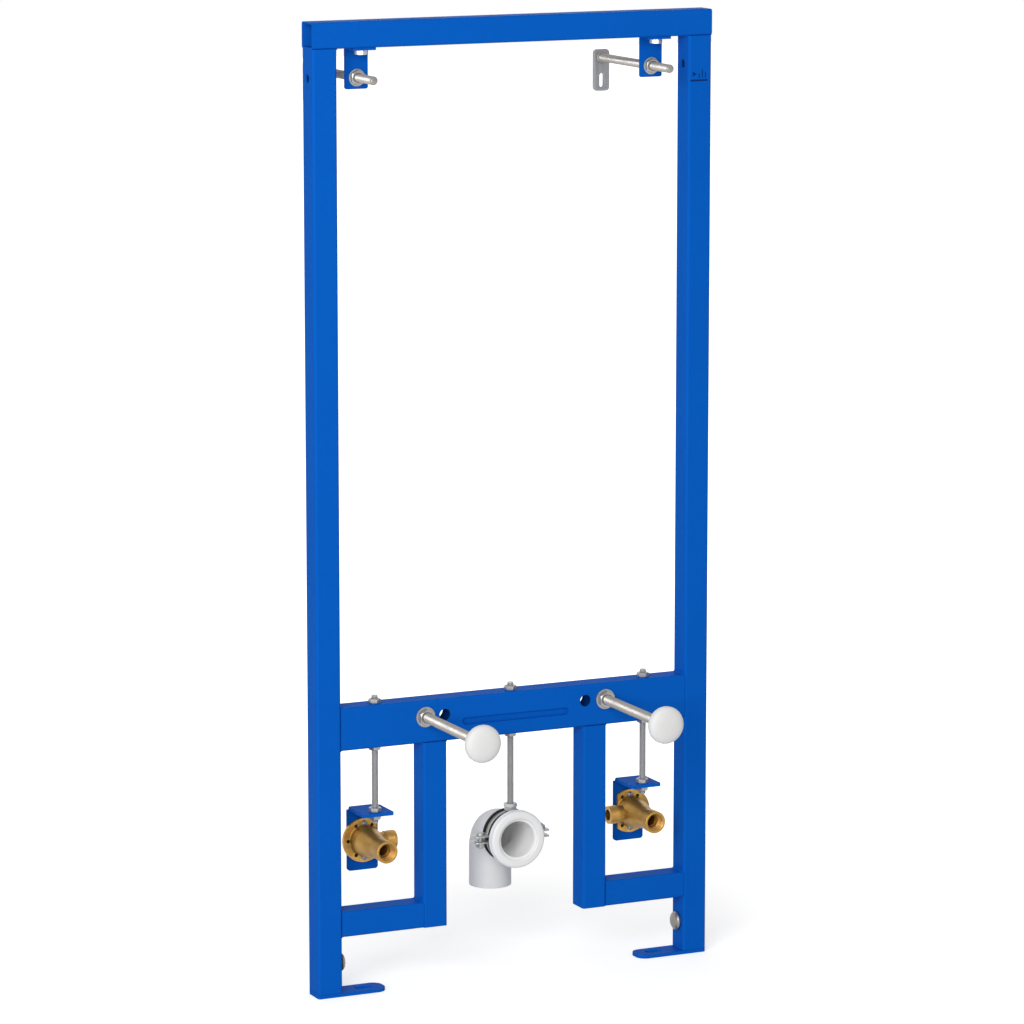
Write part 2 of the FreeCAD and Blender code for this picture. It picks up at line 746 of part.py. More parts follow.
def make_anchor_nuts(side, sign):
    x = across(sign, "wall_bracket_spacing")
    sizes_of = ("anchor_rod_width", "anchor_nut_flats", "anchor_nut_height",
                "anchor_washer_width", "anchor_washer_thickness")
    front = make_nut(side + "_anchor_front_nut", *sizes_of)
    back = make_nut(side + "_anchor_back_nut", *sizes_of)
    place(front, x, "wall_bracket_front", "anchor_height", *ALONG_FRONT)
    place(back, x, "wall_bracket_back", "anchor_height", *ALONG_BACK)
    gather(side + "_anchor_nuts", [front, back])


def make_fixing_rod(side, sign):
    back_end = "half_tube + fixing_washer_thickness + fixing_nut_height + fixing_tail"
    rod = make_rod(side + "_fixing_rod", "fixing_rod_width", f"{back_end} + cap_middle")
    keep(place(rod, across(sign, "fixing_spacing"), back_end, "fixing_height", *ALONG_FRONT))


def make_fixing_nuts(side, sign):
    x = across(sign, "fixing_spacing")
    sizes_of = ("fixing_rod_width", "fixing_nut_flats", "fixing_nut_height",
                "fixing_washer_width", "fixing_washer_thickness")
    front = make_nut(side + "_fixing_front_nut", *sizes_of)
    back = make_nut(side + "_fixing_back_nut", *sizes_of)
    place(front, x, "-half_tube", "fixing_height", *ALONG_FRONT)
    place(back, x, "half_tube", "fixing_height", *ALONG_BACK)
    gather(side + "_fixing_nuts", [front, back])


def make_rod_cap(side, sign):
    """Round cap pushed over the rod's front end."""
    cap = new_body(side + "_rod_cap")
    profile = new_sketch(cap, "XZ_Plane")
    add_outline(profile, [
        ("0", "-cap_half"), ("cap_face_radius", "-cap_half", "cap_face_round"),
        ("cap_shoulder_radius", "-cap_shoulder_half", "cap_shoulder_round"),
        ("cap_radius", "0", "cap_rim_round"),
        ("cap_shoulder_radius", "cap_shoulder_half", "cap_shoulder_round"),
        ("cap_face_radius", "cap_half", "cap_face_round"), ("0", "cap_half"),
    ])
    turn(profile)
    socket = new_sketch(cap, "XY_Plane", "-cap_half")
    add_circle(socket, "fixing_rod_width + 2 * seat_clearance")
    pocket(socket, "cap_half", flip=True)
    keep(place(cap, across(sign, "fixing_spacing"), "-cap_middle", "fixing_height", *ALONG_FRONT))


def make_hanger(side, sign, bottom):
    """A vertical rod through the crossbar."""
    top = "crossbar_top + small_nut_height + thread_tail"
    rod = make_rod(side + "_hanger_rod", "small_rod_width", f"{top} - ({bottom})")
    keep(place(rod, across(sign, "hanger_spacing"), "0", bottom))


def make_hanger_nuts(side, sign, seats):
    """Nuts on a hanger rod: each seat is a height and whether the nut rises from it."""
    items = []
    for index, (height, rises) in enumerate(seats):
        label = f"{side}_hanger_nut_{index}"
        nut = make_nut(label, "small_rod_width", "small_nut_flats", "small_nut_height")
        place(nut, across(sign, "hanger_spacing"), "0", height, *(() if rises else DOWNWARDS))
        items.append(nut)
    gather(side + "_hanger_nuts", items)


def make_tap_bracket(side, sign):
    """Bent plate hung from a rod: the tap fitting is screwed to its upright."""
    bracket = new_body(side + "_tap_bracket")
    profile = new_sketch(bracket, "YZ_Plane")
    back, front = "tap_bracket_back", "tap_bracket_front"
    nose = "tap_bracket_back - tap_bracket_reach"
    add_outline(profile, [
        (nose, "0"), (nose, "-tap_bracket_thickness"),
        (front, "-tap_bracket_thickness", "tap_bracket_bend_inside"),
        (front, "-tap_bracket_height"), (back, "-tap_bracket_height"), (back, "0", "tap_bracket_bend"),
    ])
    pad(profile, "tap_bracket_width", both=True)
    rod_hole = new_sketch(bracket, "XY_Plane")
    add_circle(rod_hole, "hanger_hole")
    pocket(rod_hole, "2 * tap_bracket_thickness")
    screw_holes = new_sketch(bracket, "XZ_Plane", "-tap_bracket_front")
    for turn_sign in (-1, 1):
        height = f"tap_height - tap_bracket_top + ({turn_sign}) * tap_hole_circle / 2"
        add_circle(screw_holes, "tap_hole_width", "0", height)
    pocket(screw_holes, "2 * tap_bracket_thickness")
    relief = new_sketch(bracket, "XZ_Plane", "-tap_bracket_front")
    for turn_sign in (-1, 1):
        inner = f"({turn_sign}) * tap_relief_inner"
        outer = f"({turn_sign}) * tap_relief_outer"
        low, high = "-tap_bracket_relief", "tap_bracket_relief"
        corners = [(inner, low), (outer, low), (outer, high), (inner, high)]
        add_outline(relief, corners if turn_sign > 0 else corners[::-1])
    pocket(relief, "3 * tap_bracket_thickness", both=True)
    low = -number("tap_bracket_height")
    nose_y = number(nose)
    fillet(bracket, "tap_bracket_corner", lambda middle, along: abs(along.y) > 0.9 and middle.z < low + 0.1)
    fillet(bracket, "tap_bracket_nose_corner",
           lambda middle, along: abs(along.z) > 0.9 and middle.y < nose_y + 0.1)
    keep(place(bracket, across(sign, "hanger_spacing"), "0", "tap_bracket_top"))


def make_tap_elbow(side, sign):
    """Brass wall fitting: drilled flange, body that narrows to the mouth, and a side outlet."""
    elbow = new_body(side + "_tap_elbow")
    inward = -sign
    flange = new_sketch(elbow, "XZ_Plane")
    add_flatted_disc(flange, "tap_flange_width", "tap_flange_flat", inward)
    pad(flange, "tap_flange_thickness")
    profile = new_sketch(elbow, "XY_Plane")
    body, root = "tap_body_width / 2", "-tap_flange_thickness / 2"
    add_outline(profile, [
        ("0", root), (body, root), (body, "-(tap_flange_thickness + tap_body_length)", "tap_body_round"),
        ("tap_neck_width / 2", "-(tap_mouth_start - tap_neck_length)", "tap_neck_round"),
        ("tap_neck_width / 2", "-tap_mouth_start"),
        ("tap_mouth_radius", "-(tap_mouth_start + tap_mouth_step)"),
        ("tap_mouth_radius", "-tap_mouth_reach", "tap_mouth_round"), ("0", "-tap_mouth_reach"),
    ])
    turn(profile)
    face, body_radius = -number("tap_flange_thickness"), number(body)
    fillet(elbow, "tap_body_blend", lambda middle, along: (
        abs(middle.y - face) < 0.01 and abs(math.hypot(middle.x, middle.z) - body_radius) < 0.01))
    holes = new_sketch(elbow, "XZ_Plane")
    reach = "tap_hole_circle / 2"
    add_circle(holes, "tap_hole_width", f"({-inward}) * {reach}", "0")
    for turn_sign in (-1, 1):
        height = f"({turn_sign}) * {reach}"
        add_circle(holes, "tap_hole_width", "0", height)
        for lean in (-1, 1):
            add_circle(holes, "tap_hole_width", f"({lean}) * {reach} / 2", f"{height} * sqrt(3) / 2")
    pocket(holes, "2 * tap_flange_thickness", flip=True)
    neck = new_sketch(elbow, "YZ_Plane")
    add_circle(neck, "tap_outlet_neck_width", "-tap_outlet_place", "0")
    pad(neck, "tap_outlet_reach - tap_outlet_thread / 2", flip=inward < 0)
    thread = new_sketch(elbow, "YZ_Plane", f"({inward}) * (tap_outlet_reach - tap_outlet_thread)")
    add_circle(thread, "tap_outlet_width", "-tap_outlet_place", "0")
    pad(thread, "tap_outlet_thread", flip=inward < 0)
    seats = new_sketch(elbow, "XZ_Plane", "tap_flange_thickness")
    for turn_sign in (-1, 1):
        seat_width = "tap_screw_head_width + 2 * tap_screw_seat_clearance"
        add_circle(seats, seat_width, "0", f"({turn_sign}) * tap_hole_circle / 2")
    pocket(seats, "tap_body_length", flip=True)
    mouth_bore = new_sketch(elbow, "XY_Plane")
    bore_end = "-(tap_mouth_reach - tap_mouth_bore_depth)"
    add_outline(mouth_bore, [
        ("0", "-tap_mouth_reach"), ("tap_mouth_bore_radius + tap_mouth_chamfer", "-tap_mouth_reach"),
        ("tap_mouth_bore_radius", "-(tap_mouth_reach - tap_mouth_chamfer)"),
        ("tap_mouth_bore_radius", bore_end), ("0", bore_end),
    ])
    turn(mouth_bore, cut=True)
    water_bore = new_sketch(elbow, "XZ_Plane", "tap_mouth_reach")
    add_circle(water_bore, "tap_water_bore")
    pocket(water_bore, "tap_mouth_reach - tap_outlet_place")
    outlet_bore = new_sketch(elbow, "YZ_Plane", f"({inward}) * tap_outlet_reach")
    add_circle(outlet_bore, "tap_outlet_bore", "-tap_outlet_place", "0")
    pocket(outlet_bore, "tap_outlet_reach", flip=inward < 0)
    keep(place(elbow, across(sign, "hanger_spacing"), "tap_bracket_front", "tap_height"))


def make_tap_screws(side, sign):
    items = []
    for label, turn_sign in (("lower", -1), ("upper", 1)):
        screw = new_body(f"{side}_tap_screw_{label}")
        profile = new_sketch(screw, "XZ_Plane")
        head, shank = "tap_screw_head_width / 2", "tap_screw_width / 2"
        tail = "-(tap_flange_thickness + tap_bracket_thickness + tap_screw_tail)"
        add_outline(profile, [
            ("0", tail), (shank, tail), (shank, "0"), (head, "0"),
            (head, "tap_screw_rim_height", "tap_screw_rim_round"),
            ("tap_screw_crown_radius", "tap_screw_head_height", "tap_screw_crown_round"),
            ("0", "tap_screw_head_height"),
        ])
        turn(profile)
        height = f"tap_height + ({turn_sign}) * tap_hole_circle / 2"
        front = "tap_bracket_front - tap_flange_thickness"
        place(screw, across(sign, "hanger_spacing"), front, height, *ALONG_FRONT)
        items.append(screw)
    gather(side + "_tap_screws", items)


def make_waste_bend():
    """Plastic pipe: back from its mouth through a wider socket, then a quarter turn down."""
    bend = new_body("waste_bend")
    path = new_sketch(bend, "YZ_Plane")
    start = "-(waste_mouth_reach - collar_lip)"
    bend_start = "waste_drop_place - waste_bend_radius"
    drop = "waste_height - waste_outlet_height"
    mouth = FreeCAD.Vector(number(start), 0, 0)
    first = Part.LineSegment(mouth, FreeCAD.Vector(number(bend_start), 0, 0))
    radius = number("waste_bend_radius")
    middle = FreeCAD.Vector(number(bend_start), -radius, 0)
    quarter = Part.ArcOfCircle(Part.Circle(middle, FreeCAD.Vector(0, 0, 1), radius), 0, math.pi / 2)
    foot = FreeCAD.Vector(number("waste_drop_place"), -number(drop), 0)
    last = Part.LineSegment(quarter.StartPoint, foot)
    run = path.addGeometry(first, False)
    turn_arc = path.addGeometry(quarter, False)
    fall = path.addGeometry(last, False)
    fix_point(path, run, 1, start, "0")
    relate(path, "Horizontal", run)
    relate(path, "Tangent", run, 2, turn_arc, 2)
    relate(path, "Tangent", turn_arc, 1, fall, 1)
    fix(path, "Radius", turn_arc, "waste_bend_radius")
    fix_point(path, fall, 2, "waste_drop_place", f"-({drop})")
    relate(path, "Vertical", fall)
    ring = new_sketch(bend, "XZ_Plane", "waste_mouth_reach - collar_lip")
    add_circle(ring, "waste_pipe_width")
    add_circle(ring, "waste_pipe_width - 2 * waste_pipe_wall")
    sweep = bend.newObject("PartDesign::AdditivePipe", "waste_bend_pipe")
    sweep.Profile = ring
    sweep.Spine = path
    socket = new_sketch(bend, "XZ_Plane", "-waste_socket_end")
    add_circle(socket, "waste_socket_width")
    add_circle(socket, "waste_pipe_width - waste_pipe_wall")
    pad(socket, "waste_socket_end - waste_socket_start")
    keep(place(bend, "centre", "0", "waste_height"))


def make_waste_collar():
    collar = new_body("waste_collar")
    ring = new_sketch(collar, "XY_Plane")
    front, back = "-waste_mouth_reach", "-(waste_mouth_reach - collar_length)"
    step = "-(waste_mouth_reach - collar_lip)"
    seat = "waste_radius + seat_clearance"
    add_outline(ring, [
        ("collar_bore / 2", front, "collar_mouth_round"), ("collar_width / 2", front, "collar_corner"),
        ("collar_width / 2", back, "collar_corner / 2"), (seat, back), (seat, step),
        ("collar_bore / 2", step),
    ])
    turn(ring)
    keep(place(collar, "centre", "0", "waste_height"))


def make_clamp_band(label):
    """Half a pipe clamp: a half ring with a flat ear at each end."""
    band = new_body(label)
    outline = new_sketch(band, "XZ_Plane")
    inside, outside = number("band_inside"), number("band_outside")
    low, high, reach = number("ear_bottom"), number("ear_top"), number("ear_reach")
    upward = FreeCAD.Vector(0, 0, 1)
    outer_start = math.asin(high / outside)
    inner_start = math.asin(low / inside)
    outer_ring = Part.Circle(FreeCAD.Vector(), upward, outside)
    inner_ring = Part.Circle(FreeCAD.Vector(), upward, inside)
    outer = Part.ArcOfCircle(outer_ring, outer_start, math.pi - outer_start)
    inner = Part.ArcOfCircle(inner_ring, inner_start, math.pi - inner_start)
    outer_arc = outline.addGeometry(outer, False)
    inner_arc = outline.addGeometry(inner, False)
    for arc, radius in ((outer_arc, "band_outside"), (inner_arc, "band_inside")):
        relate(outline, "Coincident", arc, 3, -1, 1)
        fix(outline, "Radius", arc, radius)
    for arc_end, sign in ((1, 1), (2, -1)):
        outer_point = outer.StartPoint if sign > 0 else outer.EndPoint
        inner_point = inner.StartPoint if sign > 0 else inner.EndPoint
        tip_high = FreeCAD.Vector(sign * reach, high, 0)
        tip_low = FreeCAD.Vector(sign * reach, low, 0)
        top = outline.addGeometry(Part.LineSegment(outer_point, tip_high), False)
        tip = outline.addGeometry(Part.LineSegment(tip_high, tip_low), False)
        under = outline.addGeometry(Part.LineSegment(tip_low, inner_point), False)
        relate(outline, "Coincident", outer_arc, arc_end, top, 1)
        relate(outline, "Coincident", top, 2, tip, 1)
        relate(outline, "Coincident", tip, 2, under, 1)
        relate(outline, "Coincident", under, 2, inner_arc, arc_end)
        relate(outline, "Horizontal", top)
        relate(outline, "Horizontal", under)
        fix_point(outline, tip, 1, f"({sign}) * ear_reach", "ear_top")
        fix_point(outline, tip, 2, f"({sign}) * ear_reach", "ear_bottom")
    pad(outline, "2 * band_half_length", both=True)
    holes = new_sketch(band, "XY_Plane")
    for sign in (-1, 1):
        add_circle(holes, "clamp_screw_width + 4 * seat_clearance", f"({sign}) * clamp_screw_place")
    pocket(holes, "2 * ear_top", flip=True)
    tip_x = number("ear_reach")
    fillet(band, "ear_corner", lambda middle, along: abs(along.z) > 0.9 and abs(middle.x) > tip_x - 0.1)
    return band


def make_clamp():
    upper = make_clamp_band("clamp_upper")
    boss = new_sketch(upper, "XY_Plane", "boss_seat")
    add_hexagon(boss, "boss_flats")
    pad(boss, "boss_rise - boss_seat")
    bore = new_sketch(upper, "XY_Plane", "boss_rise")
    add_circle(bore, "small_rod_width + 2 * thread_clearance")
    pocket(bore, "boss_rise - boss_rod_end + rod_end_clearance")
    keep(place(upper, "centre", "0", "waste_height"))
    lower = make_clamp_band("clamp_lower")
    keep(place(lower, "centre", "0", "waste_height", FreeCAD.Vector(0, 1, 0), 180))


def make_clamp_lining():
    """Rubber ring under the band, with lips that wrap over the band's edges."""
    lining = new_body("clamp_lining")
    profile = new_sketch(lining, "XY_Plane")
    bed = "lining_inside + lining_thickness"
    shelf = "band_outside + seat_clearance"
    lip = f"{shelf} + lining_lip"
    groove = "band_half_length + seat_clearance"
    add_outline(profile, [
        ("lining_inside", "-lining_half_length"), (lip, "-lining_half_length", "lining_round"),
        (lip, "-lining_lip_start"), (shelf, "-lining_lip_start"),
        (shelf, f"-({groove})"), (bed, f"-({groove})"), (bed, groove), (shelf, groove),
        (shelf, "lining_lip_start"), (lip, "lining_lip_start"),
        (lip, "lining_half_length", "lining_round"), ("lining_inside", "lining_half_length"),
    ])
    turn(profile)
    ear_gaps = new_sketch(lining, "XZ_Plane")
    for sign in (-1, 1):
        beyond = f"{lip} + lining_cut_margin"
        edges = (bed, beyond) if sign > 0 else (f"-({beyond})", f"-({bed})")
        add_rectangle(ear_gaps, *edges, "-(ear_top + lining_cut_margin)", "ear_top + lining_cut_margin")
    pocket(ear_gaps, "3 * lining_half_length", both=True)
    boss_gap = new_sketch(lining, "XY_Plane", "boss_seat")
    add_circle(boss_gap, "2 * boss_flats / sqrt(3) + 6 * seat_clearance")
    pocket(boss_gap, "lining_thickness + band_thickness + lining_lip", flip=True)
    keep(place(lining, "centre", "0", "waste_height"))


def make_clamp_screws():
    items = []
    for side, sign in SIDES:
        screw = new_body(side + "_clamp_screw")
        profile = new_sketch(screw, "XZ_Plane")
        head, shank = "clamp_screw_head_width / 2", "clamp_screw_width / 2"
        tail = "-(ear_top + clamp_screw_nut_height + clamp_screw_tail)"
        add_outline(profile, [
            ("0", tail), (shank, tail), (shank, "ear_top"), (head, "ear_top"),
            (head, "clamp_screw_rim_height", "clamp_screw_round"),
            ("clamp_screw_crown_radius", "clamp_screw_head_top", "clamp_screw_round"),
            ("0", "clamp_screw_head_top"),
        ])
        turn(profile)
        nut = new_sketch(screw, "XY_Plane", "-ear_top")
        add_hexagon(nut, "clamp_screw_nut_flats")
        pad(nut, "clamp_screw_nut_height", flip=True)
        place(screw, f"centre + ({sign}) * clamp_screw_place", "0", "waste_height")
        items.append(screw)
    gather("clamp_screws", items)


sizes = fill_sheet("Sizes", SIZES, formulas=False)
fill_sheet("Places", PLACES, formulas=True)

make_top_rail()
make_crossbar()
for side_name, side_sign in SIDES:
    make_leg(side_name, side_sign)
    make_inner_leg(side_name, side_sign)
    make_lower_rail(side_name, side_sign)
    make_foot(side_name, side_sign)
    make_clamp_bolt(side_name, side_sign)
    make_wall_bracket(side_name, side_sign)
    make_bracket_bolt(side_name, side_sign)
    make_wall_anchor(side_name, side_sign)
    make_anchor_nuts(side_name, side_sign)
    make_fixing_rod(side_name, side_sign)
    make_fixing_nuts(side_name, side_sign)
    make_rod_cap(side_name, side_sign)
    make_hanger(side_name, side_sign, "tap_bracket_underside - small_nut_height - hanger_tail")
    make_hanger_nuts(side_name, side_sign, [
        ("crossbar_top", True), ("crossbar_bottom", False),
        ("tap_bracket_top", True), ("tap_bracket_underside", False),
    ])
    make_tap_bracket(side_name, side_sign)
    make_tap_elbow(side_name, side_sign)
    make_tap_screws(side_name, side_sign)
make_hanger("centre", 0, "waste_height + boss_rod_end")
make_hanger_nuts("centre", 0, [("crossbar_top", True), ("crossbar_bottom", False)])
make_waste_bend()
make_waste_collar()
make_clamp()
make_clamp_lining()
make_clamp_screws()

doc.recompute()

for item in doc.Objects:
    if "Invalid" in item.State or "Error" in item.State:
        raise RuntimeError(f"{item.Label} failed: {item.State} {item.getStatusString()}")
for feature in cuts:
    if feature.Shape.Volume >= feature.BaseFeature.Shape.Volume:
        raise RuntimeError(f"{feature.Label} cuts nothing")
for item in nodes:
    if item.Shape.isNull() or not item.Shape.isValid() or not item.Shape.Solids:
        raise RuntimeError(f"{item.Label} has no sound shape")

os.makedirs("parts", exist_ok=True)
for item in nodes:
    item.Shape.exportStep(f"parts/{item.Label}.step")
    print(item.Label, len(item.Shape.Solids), "solids", round(item.Shape.Volume / 1000, 2), "cm3")
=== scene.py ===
"""Looks of a bidet installation frame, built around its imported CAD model.

The CAD nodes are the structure. This script gives them their finishes and adds or replaces the pieces
that a plain solid can't show: threads, welds, moulded plastic, screw heads and the level mark.
All lengths are in metres, in the part's own frame: +Z up, front towards -Y, origin under the left foot.
"""

import logging
import math
from collections.abc import Callable, Iterator, Sequence
from contextlib import contextmanager
from dataclasses import dataclass
from enum import Enum

import bmesh
import bpy
from mathutils import Matrix, Vector


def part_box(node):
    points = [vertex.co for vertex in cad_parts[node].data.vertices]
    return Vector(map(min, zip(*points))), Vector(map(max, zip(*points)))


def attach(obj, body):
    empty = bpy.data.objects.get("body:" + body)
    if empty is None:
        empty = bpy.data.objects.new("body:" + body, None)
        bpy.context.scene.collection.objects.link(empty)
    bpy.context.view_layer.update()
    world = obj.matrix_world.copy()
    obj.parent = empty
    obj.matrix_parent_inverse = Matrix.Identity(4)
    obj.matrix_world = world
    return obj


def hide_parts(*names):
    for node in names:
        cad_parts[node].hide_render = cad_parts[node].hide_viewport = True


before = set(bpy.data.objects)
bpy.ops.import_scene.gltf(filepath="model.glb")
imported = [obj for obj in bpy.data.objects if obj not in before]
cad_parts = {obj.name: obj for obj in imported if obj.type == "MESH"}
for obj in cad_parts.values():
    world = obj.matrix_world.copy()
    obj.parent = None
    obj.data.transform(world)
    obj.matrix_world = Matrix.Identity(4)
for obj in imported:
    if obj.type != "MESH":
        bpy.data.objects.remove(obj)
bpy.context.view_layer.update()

MM = 0.001
POINT_GAP = 1e-6
PLANE_GAP = 1e-7
SHARP_EDGE = 35.0
LOG = logging.getLogger("bidet_frame")
Piece = bpy.types.Object
Socket = bpy.types.NodeSocket
Colour = tuple[float, float, float]
Station = tuple[float, float]
Spot = tuple[float, float, float]
Test = Callable[[Vector], bool]


class Side(Enum):
    """The two halves of the frame, with the sign of X that points away from its middle."""

    LEFT = -1
    RIGHT = 1

    def of(self, part: str) -> str:
        """The name of a node or piece on this side."""
        return f"{self.name.lower()}_{part}"


class Way(Enum):
    """The way in which a piece points away from its seat."""

    UP = (0.0, 0.0, 1.0)
    DOWN = (0.0, 0.0, -1.0)
    FRONT = (0.0, -1.0, 0.0)
    BACK = (0.0, 1.0, 0.0)
    LEFT = (-1.0, 0.0, 0.0)
    RIGHT = (1.0, 0.0, 0.0)

    def seated(self, *seat: float) -> Matrix:
        """The matrix that takes a piece made along +Z from the origin to its seat, pointing this way."""
        turn = Vector((0, 0, 1)).rotation_difference(Vector(self.value))
        return Matrix.Translation(seat) @ turn.to_matrix().to_4x4()


class Element(Enum):
    """What an edit-mode selection picks."""

    POINTS = "VERT"
    EDGES = "EDGE"
    FACES = "FACE"


class Crease(Enum):
    """The angle in degrees up to which a kind of piece is shaded smooth."""

    NUT = 24.0
    PLAIN = 32.0
    TURNED = 40.0
    ROD = 50.0
    ROUND = 60.0


class Extent:
    """A CAD node's box at rest."""

    def __init__(self, node: str) -> None:
        """Read the node's lowest and highest corners."""
        self.low, self.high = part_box(node)
        self.middle = (self.low + self.high) / 2

    def outer(self, side: Side) -> float:
        """The X of the face that points away from the frame's middle."""
        return self.low.x if side is Side.LEFT else self.high.x

    def inner(self, side: Side) -> float:
        """The X of the face that points to the frame's middle."""
        return self.high.x if side is Side.LEFT else self.low.x


class Bench:
    """Edit-mode and modifier work on one mesh at a time, with nothing else selected."""

    @staticmethod
    def clear() -> None:
        """Deselect every object."""
        for item in bpy.context.selected_objects:
            item.select_set(False)

    @staticmethod
    def hold(piece: Piece) -> None:
        """Make one piece the only selected and the active object.

        Args:
            piece: the mesh object.
        """
        Bench.clear()
        piece.select_set(True)
        bpy.context.view_layer.objects.active = piece

    @staticmethod
    def start(name: str, primitive: Callable[..., set[str]], **sizes: float) -> Piece:
        """Add a primitive on the origin.

        Args:
            name: the new piece's name.
            primitive: the operator that adds it.
            sizes: the operator's own settings.

        Returns:
            The new piece.
        """
        Bench.clear()
        primitive(location=(0, 0, 0), **sizes)
        piece = bpy.context.active_object
        piece.name = name
        return piece

    @staticmethod
    @contextmanager
    def editing(piece: Piece) -> Iterator[None]:
        """Work on a piece in edit mode, with all of its points selected at first.

        Args:
            piece: the mesh object.

        Returns:
            The context of a with statement.
        """
        Bench.hold(piece)
        bpy.ops.object.mode_set(mode="EDIT")
        bpy.ops.mesh.select_mode(type=Element.POINTS.value)
        Bench.pick_all()
        yield
        bpy.ops.object.mode_set(mode="OBJECT")

    @staticmethod
    def pick_all() -> None:
        """Select the whole mesh, in edit mode."""
        bpy.ops.mesh.select_all(action="SELECT")

    @staticmethod
    def pick(piece: Piece, element: Element, wanted: Test) -> None:
        """Select the elements whose middle suits a test, in edit mode.

        Args:
            piece: the mesh object being edited.
            element: whether points, edges or faces are picked.
            wanted: the test of an element's middle.
        """
        bpy.ops.mesh.select_mode(type=element.value)
        bpy.ops.mesh.select_all(action="DESELECT")
        mesh = bmesh.from_edit_mesh(piece.data)
        pools = {Element.POINTS: mesh.verts, Element.EDGES: mesh.edges, Element.FACES: mesh.faces}
        for item in pools[element]:
            corners = [item] if element is Element.POINTS else item.verts
            if wanted(sum((corner.co for corner in corners), Vector()) / len(corners)):
                item.select_set(True)
        mesh.select_flush_mode()
        bmesh.update_edit_mesh(piece.data)

    @staticmethod
    def extrude(x: float = 0.0, y: float = 0.0, z: float = 0.0) -> None:
        """Extrude what is selected, in edit mode, and move it."""
        bpy.ops.mesh.extrude_region_move(TRANSFORM_OT_translate={"value": (x, y, z)})

    @staticmethod
    def slice(height: float, **settings: bool) -> None:
        """Bisect the whole mesh along a level plane, in edit mode."""
        Bench.pick_all()
        bpy.ops.mesh.bisect(plane_co=(0, 0, height), plane_no=(0, 0, 1), threshold=PLANE_GAP, **settings)

    @staticmethod
    def point_outwards() -> None:
        """Turn all faces outwards, in edit mode."""
        Bench.pick_all()
        bpy.ops.mesh.normals_make_consistent(inside=False)

    @staticmethod
    def close_up(piece: Piece, gap: float = POINT_GAP) -> None:
        """Merge doubles, drop flat faces, fill open ends and point the faces outwards.

        Args:
            piece: the mesh object.
            gap: how near to each other points are merged.
        """
        with Bench.editing(piece):
            bpy.ops.mesh.remove_doubles(threshold=gap)
            Bench.pick_all()
            bpy.ops.mesh.dissolve_degenerate(threshold=gap)
            Bench.pick_all()
            bpy.ops.mesh.fill_holes(sides=0)
            Bench.point_outwards()

    @staticmethod
    def round_edges(piece: Piece, wanted: Test, width: float, segments: int) -> None:
        """Bevel the edges whose middle suits a test.

        Args:
            piece: the mesh object.
            wanted: the test of an edge's middle.
            width: the bevel's width.
            segments: its steps.
        """
        with Bench.editing(piece):
            Bench.pick(piece, Element.EDGES, wanted)
            bpy.ops.mesh.bevel(offset=width, segments=segments, affect="EDGES")

    @staticmethod
    def modify(piece: Piece, kind: str, **settings: object) -> None:
        """Add a modifier and apply it.

        Args:
            piece: the mesh object.
            kind: the modifier's type.
            settings: the modifier's own settings.
        """
        Bench.hold(piece)
        modifier = piece.modifiers.new(kind.title(), kind)
        for name, value in settings.items():
            setattr(modifier, name, value)
        bpy.ops.object.modifier_apply(modifier=modifier.name)

    @staticmethod
    def combine(piece: Piece, tool: Piece, operation: str) -> None:
        """Cut a tool out of a piece, or keep what both share, and drop the tool."""
        Bench.modify(piece, "BOOLEAN", operation=operation, solver="EXACT", object=tool)
        bpy.data.objects.remove(tool)

    @staticmethod
    def soften(piece: Piece, width: float, segments: int = 2) -> None:
        """Round a piece's sharp edges and shade it smooth between the edges that stay."""
        Bench.modify(piece, "BEVEL", width=width, segments=segments, limit_method="ANGLE",
                     angle_limit=math.radians(SHARP_EDGE), use_clamp_overlap=True, harden_normals=False)
        Bench.shade(piece)

    @staticmethod
    def shade(piece: Piece, crease: Crease = Crease.PLAIN) -> None:
        """Shade a piece smooth, with edges sharper than the crease's angle left crisp."""
        Bench.hold(piece)
        bpy.ops.object.shade_smooth_by_angle(angle=math.radians(crease.value))

    @staticmethod
    def settle(piece: Piece, place: Matrix) -> Piece:
        """Put a place into a piece's mesh, so that its object stays at the origin.

        Args:
            piece: the mesh object.
            place: the matrix that takes it to its place.

        Returns:
            The piece.
        """
        piece.data.transform(place)
        piece.data.update()
        return piece

    @staticmethod
    def copy(piece: Piece, name: str, place: Matrix) -> Piece:
        """A copy with its own mesh, moved by a matrix.

        Args:
            piece: the mesh object.
            name: the copy's name.
            place: the matrix.

        Returns:
            The copy.
        """
        twin = bpy.data.objects.new(name, piece.data.copy())
        bpy.context.scene.collection.objects.link(twin)
        return Bench.settle(twin, place)

    @staticmethod
    def join(name: str, pieces: Sequence[Piece]) -> Piece:
        """Join pieces into the first one and name it.

        Args:
            name: the joined piece's name.
            pieces: two mesh objects or more.

        Returns:
            The joined piece.
        """
        Bench.hold(pieces[0])
        for piece in pieces[1:]:
            piece.select_set(True)
        bpy.ops.object.join()
        pieces[0].name = name
        pieces[0].data.name = name
        return pieces[0]

